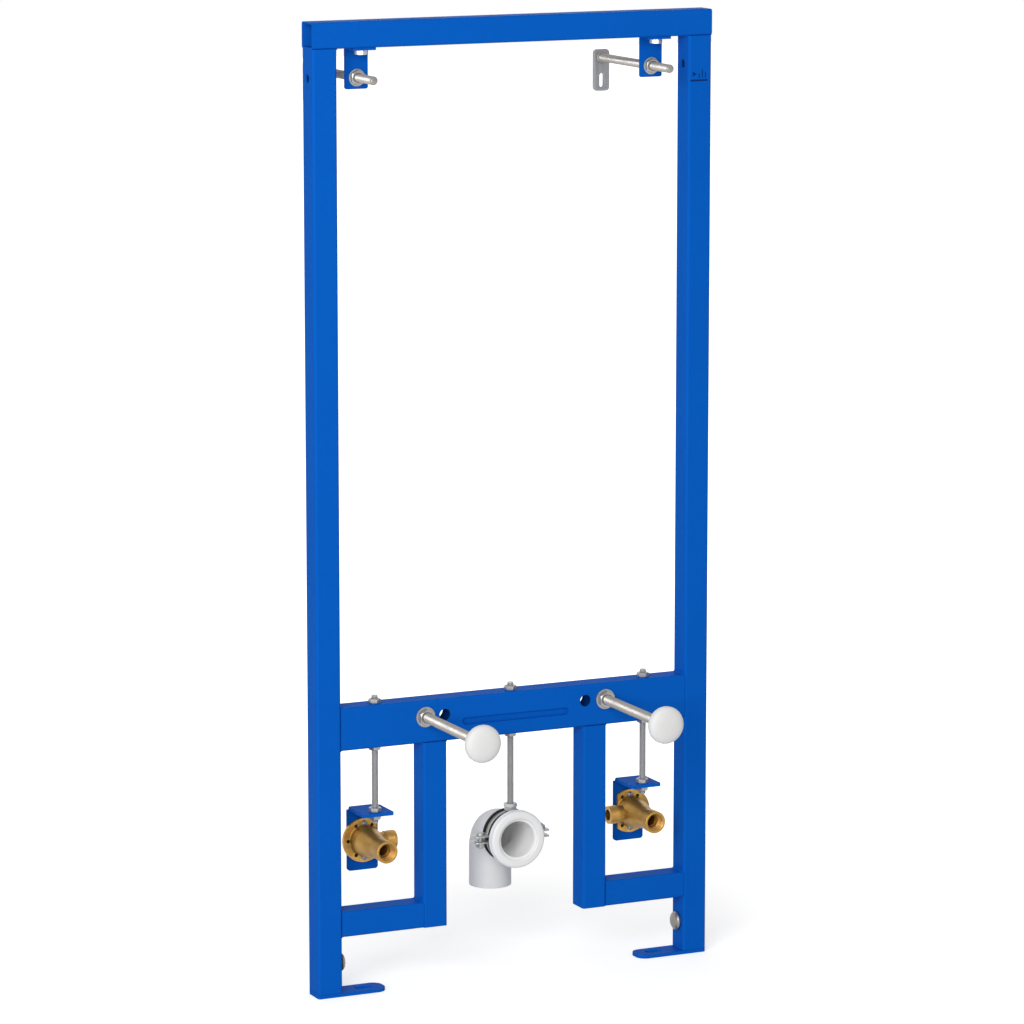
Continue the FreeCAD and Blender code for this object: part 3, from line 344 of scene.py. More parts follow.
    @staticmethod
    def turned(name: str, stations: Sequence[Station], segments: int = 48,
               crease: Crease | None = None) -> Piece:
        """Raise ring after ring along +Z, as a lathe would leave them.

        Args:
            name: the new piece's name.
            stations: each ring's height and radius. Where the last is the first, the shape is a ring.
            segments: points round each ring.
            crease: how smooth it is shaded, where that isn't left to later work.

        Returns:
            The closed piece.
        """
        (height, radius), *rest = stations
        piece = Bench.start(name, bpy.ops.mesh.primitive_circle_add, vertices=segments, radius=radius)
        with Bench.editing(piece):
            bpy.ops.transform.translate(value=(0, 0, height))
            for next_height, next_radius in rest:
                growth = next_radius / radius
                Bench.extrude(z=next_height - height)
                bpy.ops.transform.resize(value=(growth, growth, 1), center_override=(0, 0, next_height))
                height, radius = next_height, next_radius
        Bench.close_up(piece)
        if crease:
            Bench.shade(piece, crease)
        return piece

    @staticmethod
    def wound(name: str, start: Station, moves: Sequence[Station], pitch: float, turns: int, steps: int,
              closed: bool = False) -> Piece:
        """Wind a profile up round the Z axis.

        Args:
            name: the new piece's name.
            start: the profile's first point, as distance from the axis and height.
            moves: the way from each of its points to the next, outwards and up.
            pitch: the rise of a turn.
            turns: how many turns are wound.
            steps: how many stretches a turn is divided into.
            closed: whether the profile's last point is joined to its first.

        Returns:
            The wound surface, with its ends open.
        """
        thread = Bench.start(name, bpy.ops.mesh.primitive_plane_add, size=pitch)
        with Bench.editing(thread):
            bpy.ops.mesh.merge(type="CENTER")
            bpy.ops.transform.translate(value=(start[0], 0, start[1]))
            for out, up in moves:
                Bench.extrude(x=out, z=up)
            if closed:
                Bench.pick_all()
                bpy.ops.mesh.edge_face_add()
        Bench.modify(thread, "SCREW", angle=math.tau, screw_offset=pitch, iterations=turns, steps=steps,
                     render_steps=steps, use_merge_vertices=False)
        return thread

    @staticmethod
    def prism(name: str, sides: int, radius: float, height: float) -> Piece:
        """An upright prism on the origin, from a cylinder of few sides."""
        piece = Bench.start(name, bpy.ops.mesh.primitive_cylinder_add, vertices=sides, radius=radius,
                            depth=height)
        return Bench.settle(piece, Matrix.Translation((0, 0, height / 2)))

    @staticmethod
    def block(name: str, low: Vector, high: Vector) -> Piece:
        """A box between two corners.

        Args:
            name: the new piece's name.
            low: its lowest corner.
            high: its highest corner.

        Returns:
            The box.
        """
        piece = Bench.start(name, bpy.ops.mesh.primitive_cube_add, size=1)
        stretch = Matrix.Diagonal((*(high - low), 1))
        return Bench.settle(piece, Matrix.Translation((low + high) / 2) @ stretch)


def arc(middle: Station, radius: float, start: float, end: float, steps: int) -> list[Station]:
    """Stations along an arc in a turned outline. Angle 0 points away from the axis and 90 along it."""
    angles = [math.radians(start + (end - start) * step / steps) for step in range(steps + 1)]
    return [(middle[0] + radius * math.sin(angle), middle[1] + radius * math.cos(angle)) for angle in angles]


def halfway(axis: str, start: float, end: float) -> Test:
    """A test of whether a spot lies halfway between two places along an axis."""
    return lambda spot: abs(getattr(spot, axis) - (start + end) / 2) < 0.1 * (end - start)


class Graph:
    """Adds and links the nodes of one material or node group."""

    def __init__(self, tree: bpy.types.NodeTree) -> None:
        """Work on an emptied tree."""
        self.tree = tree
        self.tree.nodes.clear()

    def add(self, kind: str, **inputs: object) -> bpy.types.Node:
        """Add a node and fill its inputs.

        Args:
            kind: the node's type, without its ShaderNode start.
            inputs: values or sockets by input name, with _ for a space. A name that isn't an input
                is a setting of the node.

        Returns:
            The node.
        """
        node = self.tree.nodes.new("ShaderNode" + kind)
        settings = [name for name in inputs if hasattr(node, name)]
        for name in settings:
            setattr(node, name, inputs[name])
        for name, value in inputs.items():
            if name not in settings:
                self.feed(node.inputs[name.replace("_", " ")], value)
        return node

    def feed(self, socket: Socket, value: object) -> None:
        """Link a socket to an input, or set the input's value.

        Args:
            socket: the input.
            value: another node's output, a number, a colour or a vector.
        """
        if isinstance(value, bpy.types.NodeSocket):
            self.tree.links.new(value, socket)
        elif isinstance(value, tuple) and socket.type == "RGBA":
            socket.default_value = (*value, 1)
        else:
            socket.default_value = value

    def fill(self, node: bpy.types.Node, *values: object) -> Socket:
        """Feed a node's inputs in their order.

        Args:
            node: the node.
            values: sockets or values for its first inputs.

        Returns:
            Its first output.
        """
        for socket, value in zip(node.inputs, values):
            self.feed(socket, value)
        return node.outputs[0]

    def math(self, operation: str, *values: object, clamp: bool = False) -> Socket:
        """The result of a Math node."""
        return self.fill(self.add("Math", operation=operation, use_clamp=clamp), *values)

    def mix(self, share: object, first: object, second: object) -> Socket:
        """A mix of two colours.

        Args:
            share: the second colour's share.
            first: the colour where the share is 0.
            second: the colour where it is 1.

        Returns:
            The mixed colour.
        """
        node = self.add("Mix", data_type="RGBA")
        colour_inputs = (node.inputs[0], node.inputs[6], node.inputs[7])
        for socket, value in zip(colour_inputs, (share, first, second)):
            self.feed(socket, value)
        return node.outputs[2]

    def spread(self, value: object, low: object, high: object, start: float, end: float) -> Socket:
        """Map a value from one range to another, held at its ends."""
        node = self.add("MapRange", Value=value, From_Min=low, From_Max=high, To_Min=start, To_Max=end)
        return node.outputs["Result"]

    def noise(self, place: Socket, scale: object, detail: float = 2.0) -> Socket:
        """The value of a noise pattern."""
        return self.add("TexNoise", Vector=place, Scale=scale, Detail=detail).outputs["Fac"]

    def place(self) -> Socket:
        """Where a point is on the object, in metres."""
        return self.add("TexCoord").outputs["Object"]

    def output(self, kind: str, surface: Socket) -> None:
        """End the graph in an output node."""
        self.feed(self.add("Output" + kind).inputs["Surface"], surface)


class Effect(Enum):
    """Node groups that several finishes use, each built once, with their inputs beside the place."""

    MOTTLE = {"Broad": 12.0, "Fine": 220.0, "Fine Share": 0.6, "Middle": 0.8}
    RUBBED = {"Reach": 0.52, "Breakup": 300.0, "Full": 0.62}
    GRAIN = {"Size": 700.0, "Roughening": 0.4, "Finer": 3.0}

    def tree(self) -> bpy.types.NodeTree:
        """The group's nodes, built when they are first asked for.

        Returns:
            The node group.
        """
        made = bpy.data.node_groups.get(self.name)
        if made is None:
            made = bpy.data.node_groups.new(self.name, "ShaderNodeTree")
            made.interface.new_socket("Place", in_out="INPUT", socket_type="NodeSocketVector")
            for label, value in self.value.items():
                socket = made.interface.new_socket(label, in_out="INPUT", socket_type="NodeSocketFloat")
                socket.default_value = value
            made.interface.new_socket("Value", in_out="OUTPUT", socket_type="NodeSocketFloat")
            graph = Graph(made)
            given = made.nodes.new("NodeGroupInput").outputs
            makers = {Effect.MOTTLE: self.mottle, Effect.RUBBED: self.rubbed, Effect.GRAIN: self.grain}
            graph.feed(made.nodes.new("NodeGroupOutput").inputs[0], makers[self](graph, given))
        return made

    def placed(self, graph: Graph, *values: float) -> Socket:
        """The effect's value in a material, with these values for its first inputs."""
        node = graph.add("Group", node_tree=self.tree())
        return graph.fill(node, graph.place(), *values)

    @staticmethod
    def mottle(graph: Graph, given: bpy.types.NodeOutputs) -> Socket:
        """Broad and fine unevenness round 0, for colour and gloss.

        Args:
            graph: the group's graph.
            given: the group's inputs.

        Returns:
            The unevenness.
        """
        broad = graph.noise(given["Place"], given["Broad"])
        fine = graph.noise(given["Place"], given["Fine"], detail=3.0)
        total = graph.math("ADD", broad, graph.math("MULTIPLY", fine, given["Fine Share"]))
        return graph.math("SUBTRACT", total, given["Middle"])

    @staticmethod
    def rubbed(graph: Graph, given: bpy.types.NodeOutputs) -> Socket:
        """A mask of handled places: sharp convex edges, broken up by noise.

        Args:
            graph: the group's graph.
            given: the group's inputs.

        Returns:
            The mask.
        """
        edges = graph.add("NewGeometry").outputs["Pointiness"]
        raised = graph.spread(edges, given["Reach"], given["Full"], 0.0, 1.0)
        return graph.math("MULTIPLY", raised, graph.noise(given["Place"], given["Breakup"]), clamp=True)

    @staticmethod
    def grain(graph: Graph, given: bpy.types.NodeOutputs) -> Socket:
        """The skin's height: rounded grain with finer grain on it.

        Args:
            graph: the group's graph.
            given: the group's inputs.

        Returns:
            The height.
        """
        coarse = graph.add("TexVoronoi", Vector=given["Place"], Scale=given["Size"], feature="SMOOTH_F1")
        fine = graph.noise(given["Place"], graph.math("MULTIPLY", given["Size"], given["Finer"]))
        finer = graph.math("MULTIPLY", fine, given["Roughening"])
        return graph.math("ADD", coarse.outputs["Distance"], finer)


@dataclass(frozen=True)
class Finish:
    """A finish of two tones that drift into each other over a grainy skin. Its material is made once."""

    name: str
    colour: Colour
    drift: Colour
    roughness: float
    slot: str
    patches: float = 16.0
    specks: float = 420.0
    drift_start: float = -0.4
    drift_end: float = 0.5
    drift_most: float = 0.35
    gloss_drift: float = 0.15
    grain: float = 1100.0
    roughening: float = 0.5
    depth: float = 0.015 * MM
    shine: float = 0.3

    def material(self) -> bpy.types.Material:
        """This finish's material, built when it is first asked for.

        Returns:
            The material.
        """
        made = bpy.data.materials.get(self.name)
        if made is None:
            made = bpy.data.materials.new(self.name)
            made.use_nodes = True
            made.diffuse_color = (*self.colour, 1)
            self.paint(Graph(made.node_tree))
        return made

    def paint(self, graph: Graph) -> None:
        """Build the material's nodes.

        Args:
            graph: the material's graph.
        """
        mottle = Effect.MOTTLE.placed(graph, self.patches, self.specks)
        share = graph.spread(mottle, self.drift_start, self.drift_end, 0.0, self.drift_most)
        colour = self.wear(graph, graph.mix(share, self.colour, self.drift))
        roughness = graph.math("ADD", graph.math("MULTIPLY", mottle, self.gloss_drift), self.roughness)
        height = Effect.GRAIN.placed(graph, self.grain, self.roughening)
        normal = graph.add("Bump", Height=height, Distance=self.depth, Strength=1.0).outputs["Normal"]
        shader = graph.add("BsdfPrincipled", Base_Color=colour, Roughness=roughness, Normal=normal,
                           **self.fixed())
        graph.output("Material", shader.outputs["BSDF"])

    def wear(self, graph: Graph, colour: Socket) -> Socket:
        """What handling makes of the colour: nothing, unless the finish is a metal."""
        return colour

    def fixed(self) -> dict[str, float]:
        """The shader's values that are the same all over."""
        return {"Specular_IOR_Level": self.shine}


@dataclass(frozen=True)
class MetalFinish(Finish):
    """Metal that is brighter on its rubbed edges."""

    rubbed: Colour = (0.74, 0.73, 0.71)
    rubbed_reach: float = 0.53
    rubbed_breakup: float = 700.0
    rubbed_most: float = 0.6
    metal: float = 0.55

    def wear(self, graph: Graph, colour: Socket) -> Socket:
        """Brighten the rubbed edges."""
        mask = Effect.RUBBED.placed(graph, self.rubbed_reach, self.rubbed_breakup)
        return graph.mix(graph.math("MULTIPLY", mask, self.rubbed_most), colour, self.rubbed)

    def fixed(self) -> dict[str, float]:
        """The shader's values that are the same all over."""
        return {"Metallic": self.metal}


@dataclass(frozen=True)
class PowderCoat(Finish):
    """Satin powder coat with orange peel, on the steel tubes and plates."""

    slot: str = "blue_paint"
    patches: float = 7.0
    specks: float = 160.0
    drift_start: float = -0.3
    gloss_drift: float = 0.12
    grain: float = 520.0
    roughening: float = 0.25
    depth: float = 0.035 * MM
    shine: float = 0.012


@dataclass(frozen=True)
class ZincPlate(MetalFinish):
    """Zinc over steel: a base that drifts in patches, bright where it is rubbed."""

    slot: str = "zinc_plate"
    patches: float = 45.0
    specks: float = 900.0
    drift_start: float = -0.25
    drift_end: float = 0.4
    drift_most: float = 0.8
    gloss_drift: float = 0.25
    grain: float = 1400.0
    depth: float = 0.01 * MM


@dataclass(frozen=True)
class CastBrass(MetalFinish):
    """Raw brass: olive and grainy where cast, brighter where it is rubbed."""

    slot: str = "brass"
    patches: float = 60.0
    specks: float = 600.0
    drift_start: float = -0.3
    drift_end: float = 0.35
    drift_most: float = 0.75
    gloss_drift: float = 0.3
    grain: float = 900.0
    roughening: float = 0.8
    depth: float = 0.04 * MM
    rubbed: Colour = (0.72, 0.41, 0.11)
    rubbed_reach: float = 0.52
    rubbed_breakup: float = 450.0
    rubbed_most: float = 1.0
    metal: float = 0.7


@dataclass(frozen=True)
class RubberLining(Finish):
    """Matt rubber with a fine and dusty skin."""

    slot: str = "rubber"
    patches: float = 70.0
    specks: float = 900.0
    drift_start: float = 0.0
    drift_most: float = 0.5
    gloss_drift: float = 0.2
    grain: float = 1500.0
    roughening: float = 0.7
    depth: float = 0.03 * MM
    shine: float = 0.2


@dataclass(frozen=True)
class MarkingInk(Finish):
    """Matt screen-printed ink that lets a little of the paint through where it dried thin."""

    slot: str = "rubber"
    patches: float = 200.0
    specks: float = 1500.0
    drift_start: float = 0.0
    drift_end: float = 0.4
    drift_most: float = 0.6
    gloss_drift: float = 0.2
    grain: float = 2600.0
    roughening: float = 0.4
    depth: float = 0.01 * MM
    shine: float = 0.1


class Finishes:
    """The finishes of this frame's own pieces: name, colour, the colour it drifts to, and roughness."""

    BLUE = PowderCoat("blue_powder_coat", (0.0026, 0.109, 0.525), (0.0015, 0.082, 0.42), 0.5)
    HANGER_ZINC = ZincPlate("hanger_zinc", (0.44, 0.44, 0.445), (0.36, 0.355, 0.35), 0.40)
    CLAMP_ZINC = ZincPlate("clamp_zinc", (0.43, 0.43, 0.43), (0.33, 0.33, 0.33), 0.38)
    PLATE_ZINC = ZincPlate("plate_zinc", (0.33, 0.33, 0.345), (0.28, 0.28, 0.285), 0.5)
    FASTENER_ZINC = ZincPlate("fastener_zinc", (0.35, 0.345, 0.34), (0.25, 0.243, 0.233), 0.30)
    ROD_ZINC = ZincPlate("rod_zinc", (0.29, 0.275, 0.257), (0.225, 0.207, 0.185), 0.34)
    BOLT_ZINC = ZincPlate("bolt_zinc", (0.62, 0.60, 0.58), (0.50, 0.47, 0.44), 0.36)
    BRASS = CastBrass("cast_brass", (0.485, 0.275, 0.058), (0.29, 0.163, 0.033), 0.42)
    THREAD = CastBrass("threaded_brass", (0.42, 0.20, 0.045), (0.25, 0.115, 0.024), 0.5,
                       rubbed=(0.55, 0.30, 0.08), metal=0.5)
    # Painted shade: a near-black finish for the discs that stand for the shade inside the flange's open
    # holes.
    HOLE_SHADE = RubberLining("painted_hole_shade", (0.016, 0.011, 0.007), (0.03, 0.022, 0.014), 0.8)
    RUBBER = RubberLining("rubber_black", (0.004, 0.004, 0.0045), (0.014, 0.014, 0.015), 0.7)
    CAP = Finish("cap_plastic_white", (0.76, 0.76, 0.75), (0.70, 0.70, 0.70), 0.5, "cap_plastic")
    PIPE = Finish("pipe_plastic_grey", (0.73, 0.735, 0.735), (0.69, 0.69, 0.69), 0.45, "pipe_plastic")
    # Painted light: a paler skin inside the bend, standing for light that reaches into the bore.
    PAINTED_LIGHT_LINER = Finish("pipe_liner_painted_light", (0.80, 0.80, 0.80), (0.75, 0.75, 0.75), 0.5, "pipe_plastic")
    COLLAR = Finish("collar_plastic_white", (0.84, 0.84, 0.84), (0.78, 0.78, 0.79), 0.42, "collar_plastic")
    INK = MarkingInk("level_mark_ink", (0.0008, 0.022, 0.13), (0.001, 0.045, 0.21), 0.6)


class RodEnd(Enum):
    """How a rod's ends are finished."""

    CHAMFERED = "chamfered"
    ROUNDED = "rounded"


@dataclass(frozen=True)
class ThreadedRod:
    """A rod with a rolled thread along all of its length. Shares are of the pitch."""

    radius: float
    pitch: float
    end: RodEnd = RodEnd.CHAMFERED
    tip: float = 1.0 * MM
    steps: int = 20
    depth_share: float = 0.61
    flank_share: float = 0.42
    crest_share: float = 0.12
    root_share: float = 0.04
    merge_share: float = 0.005

    def widest(self, from_end: float) -> float:
        """How far from the axis the thread may reach.

        Args:
            from_end: the distance from the nearer end.

        Returns:
            The greatest radius there.
        """
        inside = min(max(from_end, 0.0), self.tip)
        if self.end is RodEnd.ROUNDED:
            inside = math.sqrt(self.tip ** 2 - (self.tip - inside) ** 2)
        return self.radius - self.tip + inside

    def build(self, name: str, length: float, place: Matrix) -> Piece:
        """Wind the thread, cut it to length and finish its ends.

        Args:
            name: the rod's name.
            length: its length.
            place: where its foot goes.

        Returns:
            The closed rod.
        """
        pitch, depth = self.pitch, self.depth_share * self.pitch
        flank, crest, root = self.flank_share * pitch, self.crest_share * pitch, self.root_share * pitch
        moves = [(depth, flank), (0.0, crest), (-depth, flank), (0.0, root)]
        turns = math.ceil(length / pitch) + 2
        rod = Bench.wound(name, (self.radius - depth, -pitch), moves, pitch, turns, self.steps)
        with Bench.editing(rod):
            bpy.ops.mesh.remove_doubles(threshold=self.merge_share * pitch)
            Bench.slice(0.0, use_fill=True, clear_inner=True)
            Bench.slice(length, use_fill=True, clear_outer=True)
            Bench.point_outwards()
        for point in rod.data.vertices:
            widest = self.widest(min(point.co.z, length - point.co.z))
            reach = math.hypot(point.co.x, point.co.y)
            if reach > widest:
                point.co.x *= widest / reach
                point.co.y *= widest / reach
        Bench.shade(rod, Crease.ROD)
        return Bench.settle(rod, place)


@dataclass(frozen=True)
class Nut:
    """A hexagon nut with chamfered corners, on a washer or without one. With no bore it is a head."""

    flats: float
    height: float
    bore: float
    washer_radius: float = 0.0
    washer_thickness: float = 0.0
    washer_play: float = 0.2 * MM
    edge: float = 0.2 * MM
    face_share: float = 0.95
    chamfer: float = 30.0
    spare: float = 0.5 * MM
    mouth: float = 0.7 * MM
    washer_edge: float = 0.3
    ring_points: int = 72
    merge: float = 5e-6

    def build(self, name: str) -> Piece:
        """Make the nut on the origin, rising along +Z.

        Args:
            name: the nut's name.

        Returns:
            The nut, with its washer joined to it.
        """
        corner, height, mouth = self.flats / math.sqrt(3), self.height, self.mouth
        nut = Bench.prism(name, 6, corner, height)
        Bench.round_edges(nut, halfway("z", 0.0, height), self.edge, 2)
        flat, wide = self.face_share * self.flats / 2, corner + self.spare
        rise = math.tan(math.radians(self.chamfer))
        # The cones go past the nut's ends, because a cut with flush faces loses the nut now and then.
        stations = [(-self.spare, flat - self.spare / rise), ((wide - flat) * rise, wide)]
        stations += [(height - at, radius) for at, radius in reversed(stations)]
        Bench.combine(nut, Bench.turned("nut_chamfer", stations, self.ring_points), "INTERSECT")
        if self.bore:
            bore = [(-mouth, self.bore + 2 * mouth), (mouth, self.bore), (height - mouth, self.bore),
                    (height + mouth, self.bore + 2 * mouth)]
            Bench.combine(nut, Bench.turned("nut_bore", bore), "DIFFERENCE")
        Bench.close_up(nut, self.merge)
        Bench.shade(nut, Crease.NUT)
        if not self.washer_radius:
            return nut
        Bench.settle(nut, Matrix.Translation((0, 0, self.washer_thickness)))
        rim, inner, thick = self.washer_radius, self.bore + self.washer_play, self.washer_thickness
        washer = Bench.turned("washer", [(0, inner), (0, rim), (thick, rim), (thick, inner), (0, inner)])
        Bench.soften(washer, self.washer_edge * thick)
        return Bench.join(name, [nut, washer])


@dataclass(frozen=True)
class Screw:
    """A turned screw whose head seats on the origin and has one slot, or two that cross."""

    shank: float
    point: float
    head_radius: float
    head_height: float
    rim: Sequence[Station]
    dome: float
    dome_foot: float
    dome_angles: tuple[float, float]
    slots: int
    slot_length: float
    slot_width: float
    slot_depth: float
    point_length: float = 0.8 * MM
    crown: float = 0.3 * MM
    dome_steps: int = 5
    ring_points: int = 40

    def build(self, name: str, length: float, turn: float) -> Piece:
        """Turn the screw and cut its slots.

        Args:
            name: the screw's name.
            length: how far it reaches below its head.
            turn: the first slot's angle in degrees.

        Returns:
            The screw, with its head along +Z.
        """
        top, radius = self.head_height, self.head_radius
        dome = arc((self.dome_foot, radius - self.dome), self.dome, *self.dome_angles, self.dome_steps)
        stations = [(-length, self.point), (-length + self.point_length, self.shank), (0, self.shank),
                    (0, radius), *self.rim, *dome, (top, self.crown)]
        screw = Bench.turned(name, stations, self.ring_points)
        half = Vector((self.slot_length / 2, self.slot_width / 2, 0))
        for index in range(self.slots):
            floor, above = Vector((0, 0, top - self.slot_depth)), Vector((0, 0, 2 * top))
            slot = Bench.block("slot", floor - half, above + half)
            Bench.settle(slot, Matrix.Rotation(math.radians(turn + 90 * index), 4, "Z"))
            Bench.combine(screw, slot, "DIFFERENCE")
        Bench.shade(screw)
        return screw


class SubAssembly:
    """What every sub-assembly shares: dressing CAD nodes and handing its own pieces over."""

    def dress(self, node: str, finish: Finish) -> None:
        """Give a CAD node a finish.

        Args:
            node: the node's name.
            finish: its finish.
        """
        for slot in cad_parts[node].material_slots:
            slot.material = finish.material()
        LOG.info("%s keeps its CAD form, in %s", node, finish.name)

    def hand_over(self, piece: Piece, finish: Finish, *stands_for: str) -> None:
        """Paint a finished piece and let it ride on the frame.

        Args:
            piece: the mesh object, with its place in its mesh.
            finish: its finish.
            stands_for: CAD nodes that it replaces.
        """
        piece.data.materials.clear()
        piece.data.materials.append(finish.material())
        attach(piece, "frame")
        if stands_for:
            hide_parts(*stands_for)
        LOG.info("%s: %d faces, rides on frame", piece.name, len(piece.data.polygons))

    def set_nuts(self, name: str, nut: Piece, seats: Sequence[Matrix], node: str) -> None:
        """Copy a nut to its seats and hand the named set over in place of a CAD node."""
        nuts = [Bench.copy(nut, f"{name}_{index}", seat) for index, seat in enumerate(seats)]
        self.hand_over(Bench.join(name, nuts), Finishes.FASTENER_ZINC, node)


@dataclass
class SteelFrame(SubAssembly):
    """The welded tubes, their sliding feet and the plates bolted to them. Shares are of the bead."""

    bead: float = 1.7 * MM
    ripple: float = 1.5 * MM
    end_gap: float = 3.0 * MM
    start_share: float = 0.35
    end_share: float = 0.4
    dip_share: float = 0.86
    sunk_share: float = 0.45
    crest_at: float = 0.4
    dip_at: float = 0.85
    ring_points: int = 12

    def build(self) -> None:
        """Dress the tubes and plates, then lay the weld beads in their inner corners."""
        for node in ("top_rail", "crossbar"):
            self.dress(node, Finishes.BLUE)
        for side in Side:
            for part in ("leg", "inner_leg", "lower_rail", "foot", "wall_bracket", "tap_bracket"):
                self.dress(side.of(part), Finishes.BLUE)
        for side in Side:
            self.weld_side(side)

    def weld(self, corner: Sequence[float], way: Way, length: float) -> Piece:
        """A rippled bead along an inner corner.

        Args:
            corner: its first end.
            way: the way it runs.
            length: how far it runs.

        Returns:
            The bead.
        """
        count = max(2, round(length / self.ripple))
        step = length / count
        stations = [(0.0, self.start_share * self.bead)]
        for index in range(count):
            stations += [((index + self.crest_at) * step, self.bead),
                         ((index + self.dip_at) * step, self.dip_share * self.bead)]
        stations.append((length, self.end_share * self.bead))
        bead = Bench.turned("weld_bead", stations, self.ring_points, Crease.ROUND)
        return Bench.settle(bead, way.seated(*corner))

    def weld_side(self, side: Side) -> None:
        """Join the beads of one side's tube joints into one piece.

        Args:
            side: which side.
        """
        rail, bar = Extent("top_rail"), Extent("crossbar")
        leg = Extent(side.of("leg")).inner(side)
        inner, lower = Extent(side.of("inner_leg")), Extent(side.of("lower_rail"))
        outer = inner.outer(side)
        front, gap = bar.low.y + self.end_gap, 2 * self.end_gap
        level_seams = [(leg, rail.low.z), (leg, bar.high.z), (leg, bar.low.z), (inner.low.x, bar.low.z),
                       (inner.high.x, bar.low.z), (leg, lower.high.z), (leg, lower.low.z),
                       (outer, lower.high.z)]
        beads = [self.weld((x, front, z), Way.BACK, bar.high.y - bar.low.y - gap) for x, z in level_seams]
        sunk = bar.high.y - self.sunk_share * self.bead
        for x, seam in ((leg, bar), (leg, lower), (outer, lower)):
            start = (x, sunk, seam.low.z + self.end_gap)
            beads.append(self.weld(start, Way.UP, seam.high.z - seam.low.z - gap))
        self.hand_over(Bench.join(side.of("weld_beads"), beads), Finishes.BLUE)


@dataclass
class LevelMark(SubAssembly):
    """A printed level mark near the top of the right leg: a line with a pointer and ticks over it."""

    height: float = 1.0372
    left: float = 0.4575
    right: float = 0.4795
    film: float = 0.06 * MM
    line: float = 2.2 * MM
    tick: float = 1.3 * MM
    tick_foot: float = 4.0 * MM
    tick_height: float = 9.5 * MM
    tick_shares: Sequence[float] = (0.5, 1.0, 0.7)
    first_tick: float = 10.5 * MM
    tick_spacing: float = 4.0 * MM
    pointer: float = 3.6 * MM
    pointer_corner: float = 0.5 * MM
    pointer_place: Station = (4.5 * MM, 8.5 * MM)

    def build(self) -> None:
        """Print the mark as thin raised film on the leg's front."""
        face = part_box("right_leg")[0].y
        pieces = [self.strip(self.left, self.right, 0.0, self.line, face)]
        for index, share in enumerate(self.tick_shares):
            x = self.left + self.first_tick + self.tick_spacing * index
            top = self.tick_foot + share * self.tick_height
            pieces.append(self.strip(x, x + self.tick, self.tick_foot, top, face))
        pointer = Bench.prism("pointer", 3, self.pointer, self.film)
        Bench.round_edges(pointer, halfway("z", 0.0, self.film), self.pointer_corner, 3)
        along, up = self.pointer_place
        place = Way.FRONT.seated(self.left + along, face, self.height + up)
        pieces.append(Bench.settle(pointer, place @ Matrix.Rotation(math.radians(-90), 4, "Z")))
        self.hand_over(Bench.join("level_mark", pieces), Finishes.INK)

    def strip(self, left: float, right: float, low: float, high: float, face: float) -> Piece:
        """A thin strip of ink with rounded ends.

        Args:
            left: its lowest X.
            right: its highest X.
            low: its lower edge above the mark's height.
            high: its upper edge above the mark's height.
            face: the Y of the tube's front.

        Returns:
            The strip.
        """
        strip = Bench.block("strip", Vector((left, face - self.film, self.height + low)),
                            Vector((right, face, self.height + high)))
        Bench.round_edges(strip, halfway("y", face - self.film, face), self.tick / 4, 3)
        return strip


